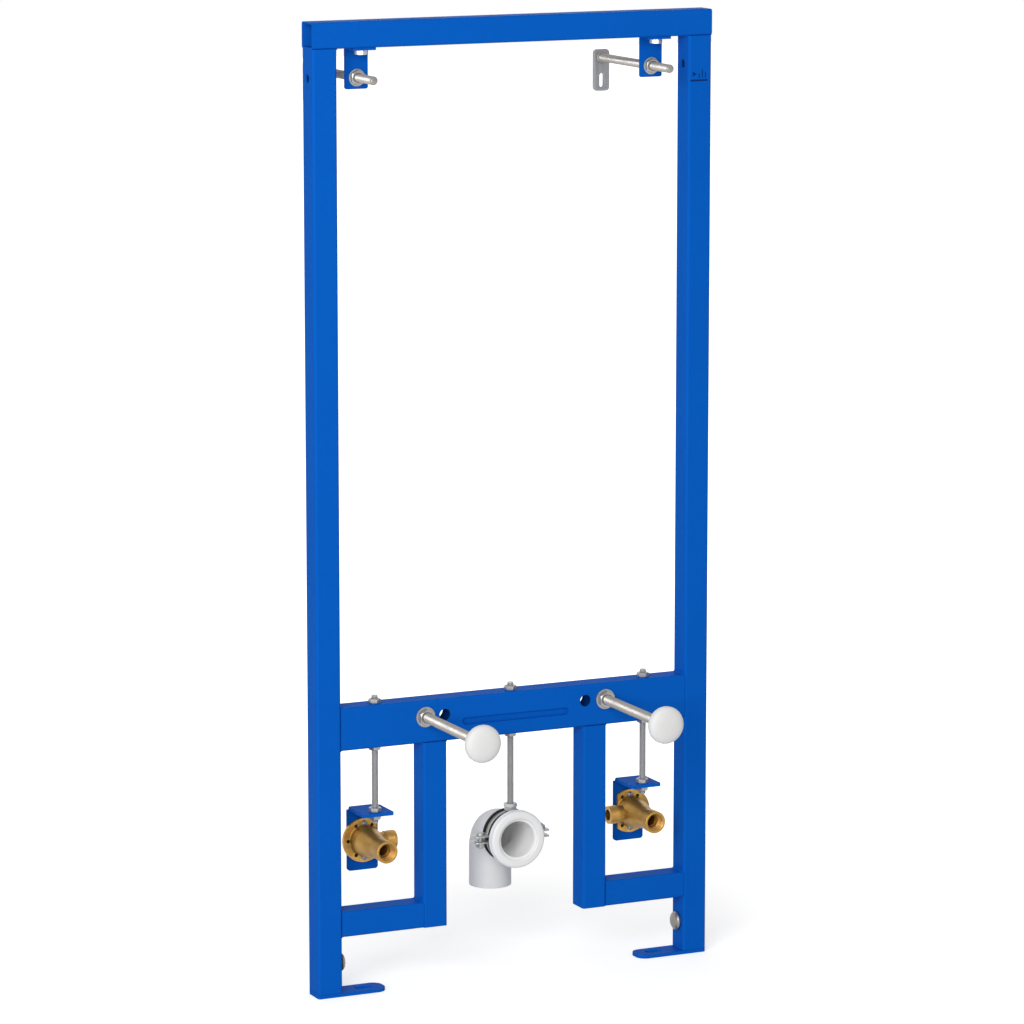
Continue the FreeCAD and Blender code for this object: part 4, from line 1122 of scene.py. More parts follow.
@dataclass
class WallFixings(SubAssembly):
    """Threaded rods welded to slotted wall plates, held under the top rail by bent brackets."""

    rod: ThreadedRod = ThreadedRod(5.0 * MM, 1.5 * MM, RodEnd.ROUNDED, 2.4 * MM)
    rod_sunk: float = 1.0 * MM
    nut: Nut = Nut(16.0 * MM, 5.0 * MM, 4.9 * MM, 10.0 * MM, 2.0 * MM)
    weld: float = 2.2 * MM
    weld_inside: float = 4.6 * MM
    plate_thickness: float = 5.0 * MM
    plate_corner: float = 4.5 * MM
    plate_edge: float = 0.5 * MM
    corner_share: float = 0.45
    slot_length: float = 16.5 * MM
    slot_width: float = 6.0 * MM
    slot_drop: float = 27.0 * MM
    cut_spare: float = 1.0 * MM
    bracket_thickness: float = 3.0 * MM
    bolt_radius: float = 4.0 * MM
    bolt_tip: float = 1.0 * MM
    bolt_turn: float = 30.0
    ring_points: int = 40
    bolt_head: Nut = Nut(13.0 * MM, 5.5 * MM, 0.0, edge=0.6 * MM)
    bolt_nut: Nut = Nut(13.0 * MM, 5.0 * MM, 3.9 * MM)

    def build(self) -> None:
        """Build each side's plate, rod, nuts and bracket bolt."""
        nut = self.nut.build("anchor_nut")
        for side in Side:
            self.make_anchor(side, nut)
            self.make_bolt(side)
        bpy.data.objects.remove(nut)

    def make_bolt(self, side: Side) -> None:
        """The bolt that holds a bracket under the rail: hexagon head below, nut inside the rail.

        Args:
            side: which side.
        """
        node = side.of("bracket_bolt")
        box = Extent(node)
        x, y, top, seat = box.middle.x, box.middle.y, box.high.z, box.low.z + self.bolt_head.height
        head = self.bolt_head.build("bolt_head")
        turn = Matrix.Rotation(math.radians(self.bolt_turn), 4, "Z")
        Bench.settle(head, Way.DOWN.seated(x, y, seat) @ turn)
        length, radius, tip = top - seat, self.bolt_radius, self.bolt_tip
        stations = [(0, radius), (length - tip, radius), (length, radius - tip)]
        shank = Bench.turned("bolt_shank", stations, self.ring_points, Crease.PLAIN)
        Bench.settle(shank, Way.UP.seated(x, y, seat))
        nut = self.bolt_nut.build("bolt_nut")
        Bench.settle(nut, Way.UP.seated(x, y, top - tip - self.bolt_nut.height))
        self.hand_over(Bench.join(side.of("hexagon_bolt"), [head, shank, nut]), Finishes.BOLT_ZINC, node)

    def make_anchor(self, side: Side, nut: Piece) -> None:
        """Build one side's plate, rod and nuts.

        Args:
            side: which side.
            nut: the nut to copy.
        """
        anchor = Extent(side.of("wall_anchor"))
        x, z = anchor.middle.x, Extent(side.of("anchor_nuts")).middle.z
        front, plate_front = anchor.low.y, anchor.high.y - self.plate_thickness
        plate = self.make_plate(side, anchor, z)
        length = plate_front - front + self.rod_sunk
        thread = self.rod.build("anchor_thread", length, Way.BACK.seated(x, front, z))
        stations = [(0, self.weld_inside), *arc((0, self.rod.radius), self.weld, 0, 90, 6),
                    (self.weld, self.weld_inside)]
        bead = Bench.turned("plate_weld", stations, self.ring_points, Crease.ROUND)
        Bench.settle(bead, Way.FRONT.seated(x, plate_front, z))
        self.hand_over(plate, Finishes.PLATE_ZINC, side.of("wall_anchor"))
        self.hand_over(Bench.join(side.of("anchor_rod"), [thread, bead]), Finishes.ROD_ZINC)
        back = Extent(side.of("wall_bracket")).high.y
        seats = [Way.BACK.seated(x, back, z), Way.FRONT.seated(x, back - self.bracket_thickness, z)]
        self.set_nuts(side.of("anchor_nut_pair"), nut, seats, side.of("anchor_nuts"))

    def make_plate(self, side: Side, anchor: Extent, rod_height: float) -> Piece:
        """The slotted plate, with rounded corners and a stamped edge.

        Args:
            side: which side.
            anchor: the anchor's box.
            rod_height: the rod's height.

        Returns:
            The plate.
        """
        front, middle = anchor.high.y - self.plate_thickness, anchor.middle
        plate = Bench.block(side.of("wall_plate"), Vector((anchor.low.x, front, anchor.low.z)), anchor.high)
        near = self.corner_share * (anchor.high - anchor.low)
        Bench.round_edges(plate, lambda spot: abs(spot.x - middle.x) > near.x
                          and abs(spot.z - middle.z) > near.z, self.plate_corner, 8)
        tool = Bench.prism("slot_tool", 32, self.slot_width / 2, self.plate_thickness + 2 * self.cut_spare)
        with Bench.editing(tool):
            for sign in (1, -1):
                Bench.pick(tool, Element.POINTS, lambda spot: sign * spot.y > POINT_GAP)
                bpy.ops.transform.translate(value=(0, sign * (self.slot_length - self.slot_width) / 2, 0))
        Bench.settle(tool, Way.BACK.seated(middle.x, front - self.cut_spare, rod_height - self.slot_drop))
        Bench.combine(plate, tool, "DIFFERENCE")
        Bench.soften(plate, self.plate_edge)
        return plate


@dataclass
class FixingRods(SubAssembly):
    """The two rods that carry the bidet, with their nuts, washers and round caps."""

    rod: ThreadedRod = ThreadedRod(6.0 * MM, 1.75 * MM, steps=24)
    nut: Nut = Nut(18.0 * MM, 6.0 * MM, 5.9 * MM, 12.0 * MM, 2.5 * MM)
    cap_squareness: float = 2.7
    cap_steps: int = 18
    cap_pole: float = 0.02
    ring_points: int = 72
    collar_radius: float = 8.6 * MM
    collar_flare: float = 1.5 * MM
    collar_share: float = 0.6
    collar_edge: float = 0.5 * MM

    def build(self) -> None:
        """Build both rods."""
        nut = self.nut.build("fixing_nut")
        for side in Side:
            self.make_rod(side, nut)
        bpy.data.objects.remove(nut)

    def make_rod(self, side: Side, nut: Piece) -> None:
        """Build one rod with its nuts and cap.

        Args:
            side: which side.
            nut: the nut to copy.
        """
        node = side.of("fixing_rod")
        box, bar = Extent(node), Extent("crossbar")
        x, z, front, back = box.middle.x, box.middle.z, box.low.y, box.high.y
        thread = self.rod.build(side.of("fixing_thread"), back - front, Way.BACK.seated(x, front, z))
        self.hand_over(thread, Finishes.ROD_ZINC, node)
        seats = [Way.BACK.seated(x, bar.high.y, z), Way.FRONT.seated(x, bar.low.y, z)]
        self.set_nuts(side.of("fixing_nut_pair"), nut, seats, side.of("fixing_nuts"))
        self.hand_over(self.make_cap(side), Finishes.CAP, side.of("rod_cap"))

    def make_cap(self, side: Side) -> Piece:
        """The cap: a full round rim between two low domes, with a collar at its back.

        Args:
            side: which side.

        Returns:
            The cap.
        """
        box = Extent(side.of("rod_cap"))
        half, rim = (box.high.y - box.low.y) / 2, (box.high.x - box.low.x) / 2
        power = 2 / self.cap_squareness
        stations = [(-half, self.cap_pole * rim)]
        for step in range(1, self.cap_steps):
            angle = math.pi * step / self.cap_steps - math.pi / 2
            height = half * math.copysign(abs(math.sin(angle)) ** power, angle)
            stations.append((height, rim * math.cos(angle) ** power))
        stations.append((half, self.cap_pole * rim))
        cap = Bench.turned("round_cap", stations, self.ring_points)
        Bench.modify(cap, "SUBSURF", levels=1, render_levels=1)
        foot, bore, wide = -self.collar_share * half, self.rod.radius, self.collar_radius
        collar = Bench.turned("cap_collar", [(-half, bore), (-half, wide), (foot, wide + self.collar_flare),
                                             (foot, bore), (-half, bore)])
        Bench.soften(collar, self.collar_edge)
        Bench.shade(cap, Crease.ROUND)
        cap = Bench.join(side.of("round_cap"), [cap, collar])
        return Bench.settle(cap, Way.FRONT.seated(*box.middle))


@dataclass
class Hangers(SubAssembly):
    """The three upright rods under the crossbar, with their nuts."""

    rod: ThreadedRod = ThreadedRod(4.0 * MM, 1.25 * MM)
    nut: Nut = Nut(13.0 * MM, 5.0 * MM, 3.9 * MM)
    bracket_thickness: float = 4.0 * MM

    def build(self) -> None:
        """Build the rods and nuts."""
        nut = self.nut.build("hanger_nut")
        bar = Extent("crossbar")
        for place in ("left", "centre", "right"):
            box = Extent(f"{place}_hanger_rod")
            x, low, high = box.middle.x, box.low.z, box.high.z
            thread = self.rod.build(f"{place}_hanger_thread", high - low, Way.UP.seated(x, 0, low))
            self.hand_over(thread, Finishes.HANGER_ZINC, f"{place}_hanger_rod")
            levels = [(Way.UP, bar.high.z), (Way.DOWN, bar.low.z)]
            if place != "centre":
                bracket_top = Extent(f"{place}_tap_bracket").high.z
                levels += [(Way.UP, bracket_top), (Way.DOWN, bracket_top - self.bracket_thickness)]
            seats = [way.seated(x, 0, z) for way, z in levels]
            self.set_nuts(f"{place}_hanger_nut_set", nut, seats, f"{place}_hanger_nuts")
        bpy.data.objects.remove(nut)


@dataclass
class TapFittings(SubAssembly):
    """Brass wall fittings on their brackets, with threads and recessed screws."""

    screw: Screw = Screw(shank=2.0 * MM, point=1.4 * MM, head_radius=3.5 * MM, head_height=2.8 * MM, rim=(),
                         dome=1.7 * MM, dome_foot=0.9 * MM, dome_angles=(0, 70), slots=2,
                         slot_length=4.6 * MM, slot_width=0.9 * MM, slot_depth=1.5 * MM)
    screw_turn: float = 20.0
    hole_circle: float = 20.0 * MM
    hole_radius: float = 2.18 * MM
    # Sizes of the dark discs of painted shade in the flange's open holes.
    pad_thickness: float = 0.5 * MM
    pad_sunk: float = 0.1 * MM
    pad_angles: Sequence[int] = (60, 120, 240, 300)
    pad_points: int = 24
    thread_steps: int = 36
    flange: float = 4.0 * MM
    pitch: float = 1.8 * MM
    flank_share: float = 0.36
    crest_share: float = 0.12
    root: float = 0.15 * MM
    mouth_bore: float = 9.5 * MM
    mouth_start: float = 1.4 * MM
    mouth_depth: float = 14.0 * MM
    mouth_ridge: float = 0.8 * MM
    outlet_radius: float = 10.5 * MM
    outlet_start: float = 0.9 * MM
    outlet_thread: float = 12.5 * MM
    outlet_ridge: float = 0.35 * MM
    outlet_from_back: float = 13.5 * MM

    def build(self) -> None:
        """Build both sides."""
        for side in Side:
            self.dress(side.of("tap_elbow"), Finishes.BRASS)
            elbow, screws = Extent(side.of("tap_elbow")), Extent(side.of("tap_screws"))
            self.make_screws(side, elbow, screws)
            self.make_threads(side, elbow, screws)
            self.make_hole_shades(side, elbow, screws)

    def make_hole_shades(self, side: Side, elbow: Extent, screws: Extent) -> None:
        """Painted shade: dark discs at the back of the flange's five open holes, standing for the shade
        inside them.

        Args:
            side: which side.
            elbow: the fitting's box.
            screws: the box of its screws.
        """
        # Painted shade: each disc is a dark sheet where the hole holds only shade.
        shade_discs = []
        stations = [(0, self.hole_radius), (self.pad_thickness, self.hole_radius)]
        for angle in (*self.pad_angles, 0 if side is Side.RIGHT else 180):
            turn = math.radians(angle)
            pad = Bench.turned("pad", stations, self.pad_points, Crease.PLAIN)
            x = screws.middle.x + self.hole_circle * math.cos(turn)
            z = screws.middle.z + self.hole_circle * math.sin(turn)
            shade_discs.append(Bench.settle(pad, Way.FRONT.seated(x, elbow.high.y - self.pad_sunk, z)))
        self.hand_over(Bench.join(side.of("flange_hole_shades"), shade_discs), Finishes.HOLE_SHADE)

    def make_screws(self, side: Side, elbow: Extent, screws: Extent) -> None:
        """Two pan-head screws with a cross recess, in the flange's upper and lower holes.

        Args:
            side: which side.
            elbow: the fitting's box.
            screws: the box of its screws.
        """
        face = elbow.high.y - self.flange
        pieces = []
        for sign in (-1, 1):
            screw = self.screw.build("flange_screw", screws.high.y - face, self.screw_turn * sign)
            z = screws.middle.z + sign * self.hole_circle
            pieces.append(Bench.settle(screw, Way.FRONT.seated(screws.middle.x, face, z)))
        self.hand_over(Bench.join(side.of("cross_head_screws"), pieces), Finishes.FASTENER_ZINC,
                       side.of("tap_screws"))

    def ridges(self, name: str, radius: float, height: float, length: float, sign: int) -> Piece:
        """The ridges of a thread on a cylinder.

        Args:
            name: the piece's name.
            radius: the cylinder's radius.
            height: how far the ridges stand off it.
            length: how far the thread runs.
            sign: 1 where the ridges stand outwards, -1 where they stand into a bore.

        Returns:
            The thread, along +Z from the origin.
        """
        rise, flank = sign * (height + self.root), self.flank_share * self.pitch
        moves = [(rise, flank), (0.0, self.crest_share * self.pitch), (-rise, flank)]
        turns = max(1, math.floor(length / self.pitch) - 1)
        start = (radius - sign * self.root, 0.0)
        thread = Bench.wound(name, start, moves, self.pitch, turns, self.thread_steps, closed=True)
        Bench.close_up(thread)
        Bench.shade(thread, Crease.TURNED)
        return thread

    def make_threads(self, side: Side, elbow: Extent, screws: Extent) -> None:
        """The mouth's inside thread and the side outlet's outside thread.

        Args:
            side: which side.
            elbow: the fitting's box.
            screws: the box of its screws.
        """
        x, z = screws.middle.x, screws.middle.z
        mouth = self.ridges(side.of("mouth_thread"), self.mouth_bore, self.mouth_ridge, self.mouth_depth, -1)
        Bench.settle(mouth, Way.BACK.seated(x, elbow.low.y + self.mouth_start, z))
        outlet = self.ridges(side.of("outlet_thread"), self.outlet_radius, self.outlet_ridge,
                             self.outlet_thread, 1)
        start = elbow.inner(side) + side.value * self.outlet_start
        Bench.settle(outlet, Way[side.name].seated(start, elbow.high.y - self.outlet_from_back, z))
        self.hand_over(mouth, Finishes.THREAD)
        self.hand_over(outlet, Finishes.BRASS)


@dataclass
class WasteOutlet(SubAssembly):
    """The plastic bend with its socket, an inner skin painted paler to stand for light inside the bore, and
    its white collar.
    """

    wall: float = 3.0 * MM
    radius: float = 25.0 * MM
    bend_radius: float = 27.0 * MM
    pipe_points: int = 72
    ring_points: int = 96
    bend_steps: int = 24
    rim_round: float = 0.6 * MM
    rim_share: float = 0.3
    # Sizes of the paler inner skin of painted light inside the bend.
    painted_light_liner_gap: float = 0.02 * MM
    liner_wall: float = 0.3 * MM
    painted_light_liner_front: float = 1.0 * MM
    painted_light_liner_rise: float = 1.5 * MM
    socket_start: float = 11.6 * MM
    socket_end: float = 24.0 * MM
    socket_front_round: float = 0.8 * MM
    socket_back_round: float = 2.2 * MM
    collar_gap: float = 0.1 * MM
    collar_corner: float = 3.2 * MM
    collar_face: float = 5.12 * MM
    collar_back_round: float = 1.5 * MM
    collar_bore: float = 24.5 * MM
    collar_lip: float = 4.0 * MM
    mouth_flat: float = 0.4 * MM
    mouth_round: float = 1.4 * MM
    groove: Sequence[Station] = ((3.4 * MM, 0.0), (3.9 * MM, 0.5 * MM), (4.6 * MM, 0.5 * MM), (5.1 * MM, 0.0))
    sleeve_bore: float = 21.4 * MM
    sleeve_back: float = 0.5 * MM
    sleeve_flange: float = 0.8 * MM
    sleeve_lip: Sequence[Station] = ((0.0, 0.6 * MM), (-0.2 * MM, 0.15 * MM))

    def build(self) -> None:
        """Build the bend, its inner skin of painted light and the collar."""
        self.hand_over(self.make_bend(), Finishes.PIPE, "waste_bend")
        self.hand_over(self.make_painted_light_liner(), Finishes.PAINTED_LIGHT_LINER)
        self.hand_over(self.make_collar(), Finishes.COLLAR, "waste_collar")

    def make_pipe(self, name: str, radius: float, front: float, bottom: float, wall: float) -> Piece:
        """A pipe along the bend's path: back from its front end, round the bend and down.

        Args:
            name: the pipe's name.
            radius: its outer radius.
            front: the Y of its front end.
            bottom: the height of its lower end.
            wall: its thickness, inwards.

        Returns:
            The pipe.
        """
        box = Extent("waste_bend")
        x, level = box.middle.x, box.high.z - (box.high.x - box.low.x) / 2
        bend_start, bend_end = box.high.y - self.radius - self.bend_radius, level - self.bend_radius
        pipe = Bench.start(name, bpy.ops.mesh.primitive_circle_add, vertices=self.pipe_points, radius=radius)
        Bench.settle(pipe, Way.BACK.seated(x, front, level))
        with Bench.editing(pipe):
            Bench.extrude(y=bend_start - front)
            bpy.ops.mesh.spin(steps=self.bend_steps, angle=math.pi / 2, center=(x, bend_start, bend_end),
                              axis=(1, 0, 0))
            Bench.extrude(z=bottom - bend_end)
            Bench.pick_all()
            bpy.ops.mesh.remove_doubles(threshold=POINT_GAP)
            bpy.ops.mesh.normals_make_consistent(inside=False)
        Bench.modify(pipe, "SOLIDIFY", thickness=wall, offset=-1.0, use_even_offset=True)
        Bench.soften(pipe, min(self.rim_round, self.rim_share * wall), segments=3)
        return pipe

    def make_painted_light_liner(self) -> Piece:
        """Painted light: the bend's inner skin, paler than the pipe to stand for light reaching into the
        bore, from the collar's sleeve to just inside the lower rim.

        Returns:
            The skin.
        """
        front = Extent("waste_collar").high.y - self.painted_light_liner_front
        bottom = Extent("waste_bend").low.z + self.painted_light_liner_rise
        radius = self.radius - self.wall - self.painted_light_liner_gap
        return self.make_pipe("painted_light_pipe_liner", radius, front, bottom, self.liner_wall)

    def make_bend(self) -> Piece:
        """A pipe that runs back from its mouth through a socket and turns down, with a rounded lower rim.

        Returns:
            The bend.
        """
        box = Extent("waste_bend")
        widest = (box.high.x - box.low.x) / 2
        bend = self.make_pipe("bend_pipe", self.radius, box.low.y, box.low.z, self.wall)
        inner, length = self.radius - self.wall / 2, self.socket_end - self.socket_start
        front, back = self.socket_front_round, self.socket_back_round
        stations = [(0, inner), *arc((front, widest - front), front, -90, 0, 4),
                    *arc((length - back, widest - back), back, 0, 90, 8), (length, inner), (0, inner)]
        socket = Bench.turned("bend_socket", stations, self.ring_points, Crease.TURNED)
        Bench.settle(socket, Way.BACK.seated(box.middle.x, self.socket_start, box.high.z - widest))
        return Bench.join("grey_waste_bend", [bend, socket])

    def make_collar(self) -> Piece:
        """The white ring: a rounded rim, a shallow groove round its side and a sleeve into the pipe's mouth.

        Returns:
            The collar.
        """
        box = Extent("waste_collar")
        rim, deep = (box.high.x - box.low.x) / 2, box.high.y - box.low.y
        corner, back, mouth = self.collar_corner, self.collar_back_round, self.mouth_round
        bore, sleeve = self.collar_bore, self.sleeve_bore
        pipe, inside = self.radius + self.collar_gap, self.radius - self.wall + self.painted_light_liner_gap
        step = deep - self.collar_lip
        flange = step + self.sleeve_flange
        stations = [
            (0, pipe), (0, rim - back), *arc((back, rim - back), back, -90, 0, 4)[1:],
            *((height, rim - depth) for height, depth in self.groove),
            *arc((deep - corner, rim - corner), corner, 0, 80, 8), (deep, rim - self.collar_face),
            (deep, bore + mouth + self.mouth_flat), *arc((deep - mouth, bore + mouth), mouth, 90, 180, 5),
            (flange, bore), *((flange + along, sleeve + out) for along, out in self.sleeve_lip),
            (step, sleeve), (self.sleeve_back, sleeve), (self.sleeve_back, inside), (step, inside),
            (step, pipe), (0, pipe),
        ]
        collar = Bench.turned("white_waste_collar", stations, self.ring_points, Crease.TURNED)
        return Bench.settle(collar, Way.FRONT.seated(box.middle.x, box.high.y, box.middle.z))


@dataclass
class PipeClamp(SubAssembly):
    """The rubber-lined clamp round the bend, with its boss, lock nut and ear screws."""

    inside: float = 28.2 * MM
    outside: float = 30.2 * MM
    half: float = 8.2 * MM
    edge: float = 0.35 * MM
    ear_reach: float = 48.0 * MM
    ear_gap: float = 5.0 * MM
    ear_corner: float = 4.0 * MM
    ear_root: float = 0.5 * MM
    near: float = 0.1 * MM
    flat_angle: float = 1.0
    ring_points: int = 96
    boss_seat: float = 28.9 * MM
    boss_step: float = 34.6 * MM
    boss_flats: float = 12.6 * MM
    lock_nut_flats: float = 14.0 * MM
    bore: float = 4.05 * MM
    ear_nut: Nut = Nut(10.0 * MM, 5.0 * MM, 2.9 * MM)
    screw: Screw = Screw(shank=3.0 * MM, point=2.2 * MM, head_radius=5.0 * MM, head_height=3.5 * MM,
                         rim=((1.4 * MM, 5.0 * MM),), dome=1.8 * MM, dome_foot=1.7 * MM, dome_angles=(10, 80),
                         slots=1, slot_length=12.0 * MM, slot_width=1.2 * MM, slot_depth=1.6 * MM)
    screw_turn: float = 35.0

    def build(self) -> None:
        """Dress the lining and build the bands, the boss and the screws."""
        self.dress("clamp_lining", Finishes.RUBBER)
        for way in (Way.UP, Way.DOWN):
            self.make_band(way)
        self.make_boss()
        self.make_screws()

    @property
    def middle(self) -> Vector:
        """Where the clamp's axis crosses its own middle."""
        lower, collar = Extent("clamp_lower").middle, Extent("waste_collar").middle
        return Vector((lower.x, lower.y, collar.z))

    def make_band(self, way: Way) -> None:
        """Half of the clamp's band, bent out flat into an ear at each end.

        Args:
            way: which way the half bulges.
        """
        word = "upper" if way is Way.UP else "lower"
        inside, outside, half, near = self.inside, self.outside, self.half, self.near
        section = [(-half, inside), (-half, outside), (half, outside), (half, inside), (-half, inside)]
        band = Bench.turned(f"{word}_clamp_band", section, self.ring_points)
        Bench.settle(band, Way.BACK.seated(0, 0, 0))
        low = self.ear_gap / 2
        high = low + outside - inside
        with Bench.editing(band):
            Bench.slice(low, use_fill=True, clear_inner=True)
            Bench.slice(high)
            for sign in (-1, 1):
                Bench.pick(band, Element.FACES, lambda spot: low + near < spot.z < high
                           and sign * spot.x > outside - self.ear_root)
                Bench.extrude(x=sign * (self.ear_reach - outside))
                bpy.ops.transform.resize(value=(0, 1, 1), center_override=(sign * self.ear_reach, 0, 0))
            bpy.ops.mesh.select_mode(type=Element.FACES.value)
            Bench.pick_all()
            bpy.ops.mesh.dissolve_limited(angle_limit=math.radians(self.flat_angle))
        Bench.round_edges(band, lambda spot: abs(spot.x) > self.ear_reach - near
                          and abs(spot.y) > half - near, self.ear_corner, 6)
        Bench.close_up(band)
        Bench.soften(band, self.edge)
        turn = Matrix.Rotation(0.0 if way is Way.UP else math.pi, 4, "Y")
        Bench.settle(band, Matrix.Translation(self.middle) @ turn)
        self.hand_over(band, Finishes.CLAMP_ZINC, f"clamp_{word}")

    def make_boss(self) -> None:
        """The threaded boss welded on the clamp's top, under a hexagon lock nut."""
        middle, seat, step = self.middle, self.boss_seat, self.boss_step
        top = Extent("clamp_upper").high.z - middle.z
        boss = Nut(self.boss_flats, step - seat, self.bore).build("clamp_boss")
        Bench.settle(boss, Matrix.Translation(middle + Vector((0, 0, seat))))
        nut = Nut(self.lock_nut_flats, top - step, self.bore).build("clamp_lock_nut")
        Bench.settle(nut, Matrix.Translation(middle + Vector((0, 0, step))))
        self.hand_over(boss, Finishes.CLAMP_ZINC)
        self.hand_over(nut, Finishes.HANGER_ZINC)

    def make_screws(self) -> None:
        """Slotted screws through the clamp's ears: the left one from above, the right one from below."""
        box, level = Extent("clamp_screws"), self.middle.z
        seat = box.high.z - self.screw.head_height
        from_end = self.ear_nut.flats / math.sqrt(3)
        pieces = []
        for side, first, second in ((Side.LEFT, Way.UP, Way.DOWN), (Side.RIGHT, Way.DOWN, Way.UP)):
            x = box.outer(side) - side.value * from_end
            screw = self.screw.build("ear_screw", seat - box.low.z, self.screw_turn * side.value)
            nut = self.ear_nut.build("ear_nut")
            for piece, way in ((screw, first), (nut, second)):
                pieces.append(Bench.settle(piece, way.seated(x, 0, level + way.value[2] * (seat - level))))
        self.hand_over(Bench.join("clamp_ear_screws", pieces), Finishes.CLAMP_ZINC, "clamp_screws")


@dataclass
class ClampBolts(SubAssembly):
    """Mushroom-headed bolts that hold the legs on their sliding feet."""

    shank: float = 4.0 * MM
    point: float = 3.2 * MM
    point_length: float = 0.8 * MM
    collar_radius: float = 7.5 * MM
    collar_height: float = 2.5 * MM
    head_radius: float = 11.0 * MM
    head_height: float = 8.0 * MM
    head_lip: float = 0.6 * MM
    dome_share: float = 0.62
    dome_angles: Sequence[int] = range(0, 88, 8)
    crown: float = 0.3 * MM
    ring_points: int = 56

    def build(self) -> None:
        """Build both bolts."""
        for side in Side:
            self.make_bolt(side)

    def make_bolt(self, side: Side) -> None:
        """Build one bolt, with its head inside the frame.

        Args:
            side: which side.
        """
        node = side.of("clamp_bolt")
        box, face = Extent(node), Extent(side.of("leg")).inner(side)
        top, radius, collar = self.head_height, self.head_radius, self.collar_height
        angles = [math.radians(angle) for angle in self.dome_angles]
        dome = [(top * (1 - self.dome_share + self.dome_share * math.sin(angle)), radius * math.cos(angle))
                for angle in angles]
        tail = abs(box.outer(side) - face)
        stations = [(-tail, self.point), (-tail + self.point_length, self.shank), (0, self.shank),
                    (0, self.collar_radius), (collar, self.collar_radius), (collar, radius - self.head_lip),
                    *dome, (top, self.crown)]
        bolt = Bench.turned(side.of("mushroom_bolt"), stations, self.ring_points, Crease.TURNED)
        way = Way.RIGHT if side is Side.LEFT else Way.LEFT
        Bench.settle(bolt, way.seated(face, 0, box.middle.z))
        self.hand_over(bolt, Finishes.ROD_ZINC, node)


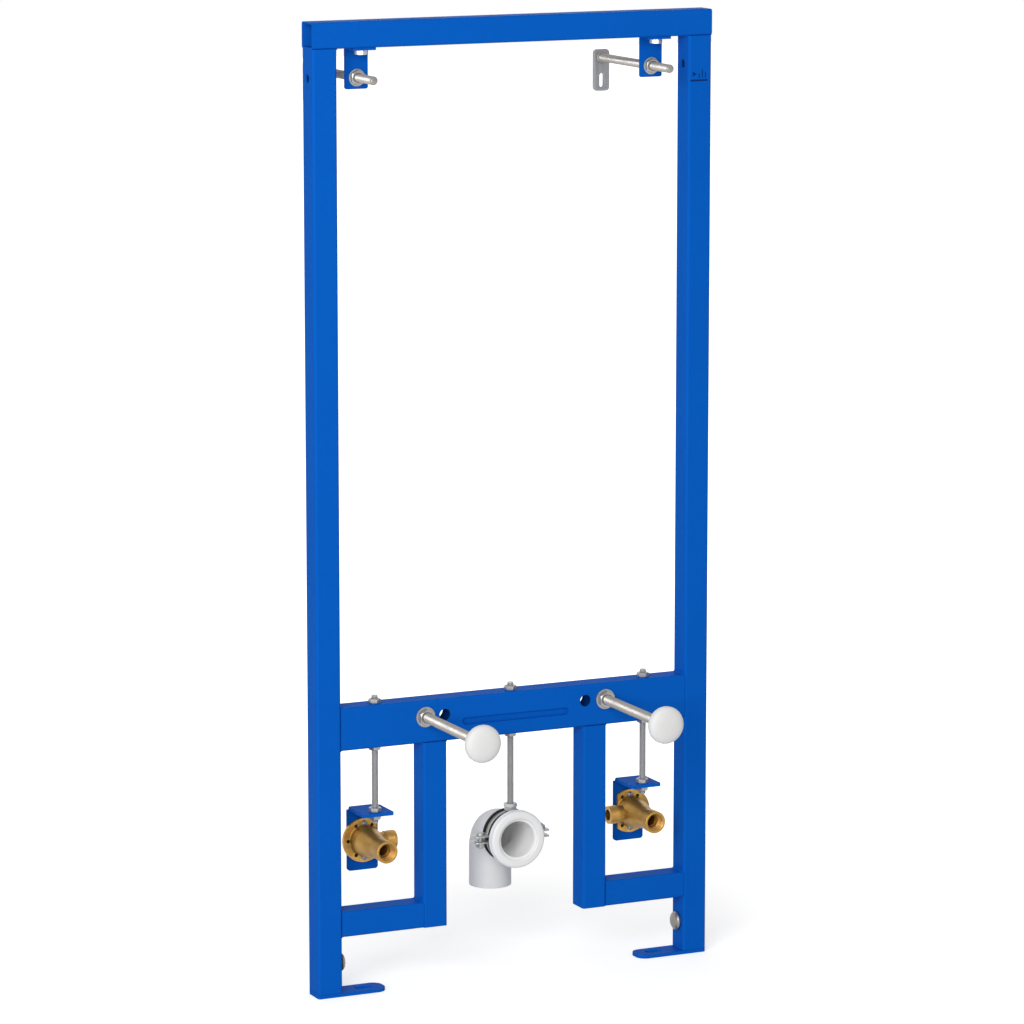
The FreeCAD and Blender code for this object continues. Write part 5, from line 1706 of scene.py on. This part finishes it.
@dataclass
class Studio:
    """The camera at the photograph's view, a pale floor and soft lamps."""

    camera_place: Spot = (-2.1524, -5.0779, 1.5378)
    yaw: float = 25.201
    pitch: float = 10.005
    lens: float = 173.66
    sensor: float = 36.0
    ambient: float = 0.40
    floor_size: float = 24.0
    floor_bounce: Colour = (0.70, 0.70, 0.70)
    floor_seen: Colour = (0.82, 0.82, 0.82)
    glow_near: float = 0.50
    glow_far: float = 1.0
    glow_start: float = 0.35
    glow_end: float = 1.3
    middle: Spot = (0.235, 0.0, 0.55)
    lamp_size: float = 2.6
    lamps: Sequence[tuple[str, Spot, float]] = (("key_lamp", (-2.6, -3.4, 1.9), 158.0),
                                                ("top_lamp", (0.2, 0.1, 3.4), 5.0),
                                                ("back_lamp", (1.6, 3.2, 1.9), 8.0))

    def build(self) -> None:
        """Set everything up."""
        self.add_camera()
        self.add_floor()
        self.light_world()
        for name, place, power in self.lamps:
            self.add_lamp(name, Vector(place), power)
        bpy.context.scene.view_settings.view_transform = "Standard"

    def add_camera(self) -> None:
        """Place the camera and look along its yaw and pitch."""
        camera = bpy.data.objects.new("camera", bpy.data.cameras.new("camera"))
        bpy.context.scene.collection.objects.link(camera)
        yaw, pitch = math.radians(self.yaw), math.radians(self.pitch)
        ahead = Vector((math.sin(yaw) * math.cos(pitch), math.cos(yaw) * math.cos(pitch), -math.sin(pitch)))
        camera.location = self.camera_place
        camera.rotation_euler = ahead.to_track_quat("-Z", "Y").to_euler()
        camera.data.lens = self.lens
        camera.data.sensor_width = self.sensor
        bpy.context.scene.camera = camera

    @staticmethod
    def seen(graph: Graph) -> Socket:
        """A mask of rays that show a surface.

        Args:
            graph: the graph of a floor or world.

        Returns:
            1 for rays from the camera, from gloss and through glass, and 0 for light that only bounces.
        """
        path = graph.add("LightPath").outputs
        through = graph.math("MAXIMUM", path["Is Glossy Ray"], path["Is Transmission Ray"])
        return graph.math("MAXIMUM", path["Is Camera Ray"], through)

    def add_floor(self) -> None:
        """A wide pale floor that looks white to the camera and keeps the object's shadow."""
        floor = Bench.start("floor", bpy.ops.mesh.primitive_plane_add, size=self.floor_size)
        material = bpy.data.materials.new("floor_pale")
        material.use_nodes = True
        graph = Graph(material.node_tree)
        bounce = graph.add("BsdfDiffuse", Color=self.floor_bounce).outputs["BSDF"]
        matt = graph.add("BsdfDiffuse", Color=self.floor_seen).outputs["BSDF"]
        away = graph.add("VectorMath", operation="DISTANCE")
        graph.fill(away, graph.place(), (*self.middle[:2], 0))
        distance = away.outputs["Value"]
        glow = graph.spread(distance, self.glow_start, self.glow_end, self.glow_near, self.glow_far)
        lit = graph.add("Emission", Color=(1, 1, 1), Strength=glow).outputs["Emission"]
        lifted = graph.fill(graph.add("AddShader"), matt, lit)
        graph.output("Material", graph.fill(graph.add("MixShader"), self.seen(graph), bounce, lifted))
        floor.data.materials.append(material)

    def light_world(self) -> None:
        """White where the camera, gloss or glass sees it, and a plain soft light elsewhere."""
        world = bpy.data.worlds.new("studio")
        bpy.context.scene.world = world
        world.use_nodes = True
        graph = Graph(world.node_tree)
        strength = graph.spread(self.seen(graph), 0.0, 1.0, self.ambient, 1.0)
        shader = graph.add("Background", Color=(1, 1, 1), Strength=strength)
        graph.output("World", shader.outputs["Background"])

    def add_lamp(self, name: str, place: Vector, power: float) -> None:
        """A square soft lamp that faces the middle of the frame.

        Args:
            name: the lamp's name.
            place: where it hangs.
            power: its power in watts.
        """
        lamp = bpy.data.objects.new(name, bpy.data.lights.new(name, "AREA"))
        bpy.context.scene.collection.objects.link(lamp)
        lamp.location = place
        lamp.rotation_euler = (Vector(self.middle) - place).to_track_quat("-Z", "Y").to_euler()
        lamp.data.shape = "SQUARE"
        lamp.data.size = self.lamp_size
        lamp.data.energy = power


def main() -> None:
    """Build the sub-assemblies in order, then the studio round them."""
    logging.basicConfig(level=logging.INFO, format="%(message)s")
    sub_assemblies = (SteelFrame(), LevelMark(), WallFixings(), FixingRods(), Hangers(), TapFittings(),
                      WasteOutlet(), PipeClamp(), ClampBolts())
    for sub_assembly in sub_assemblies:
        LOG.info("building %s", type(sub_assembly).__name__)
        sub_assembly.build()
    Studio().build()


if __name__ == "__main__":
    main()
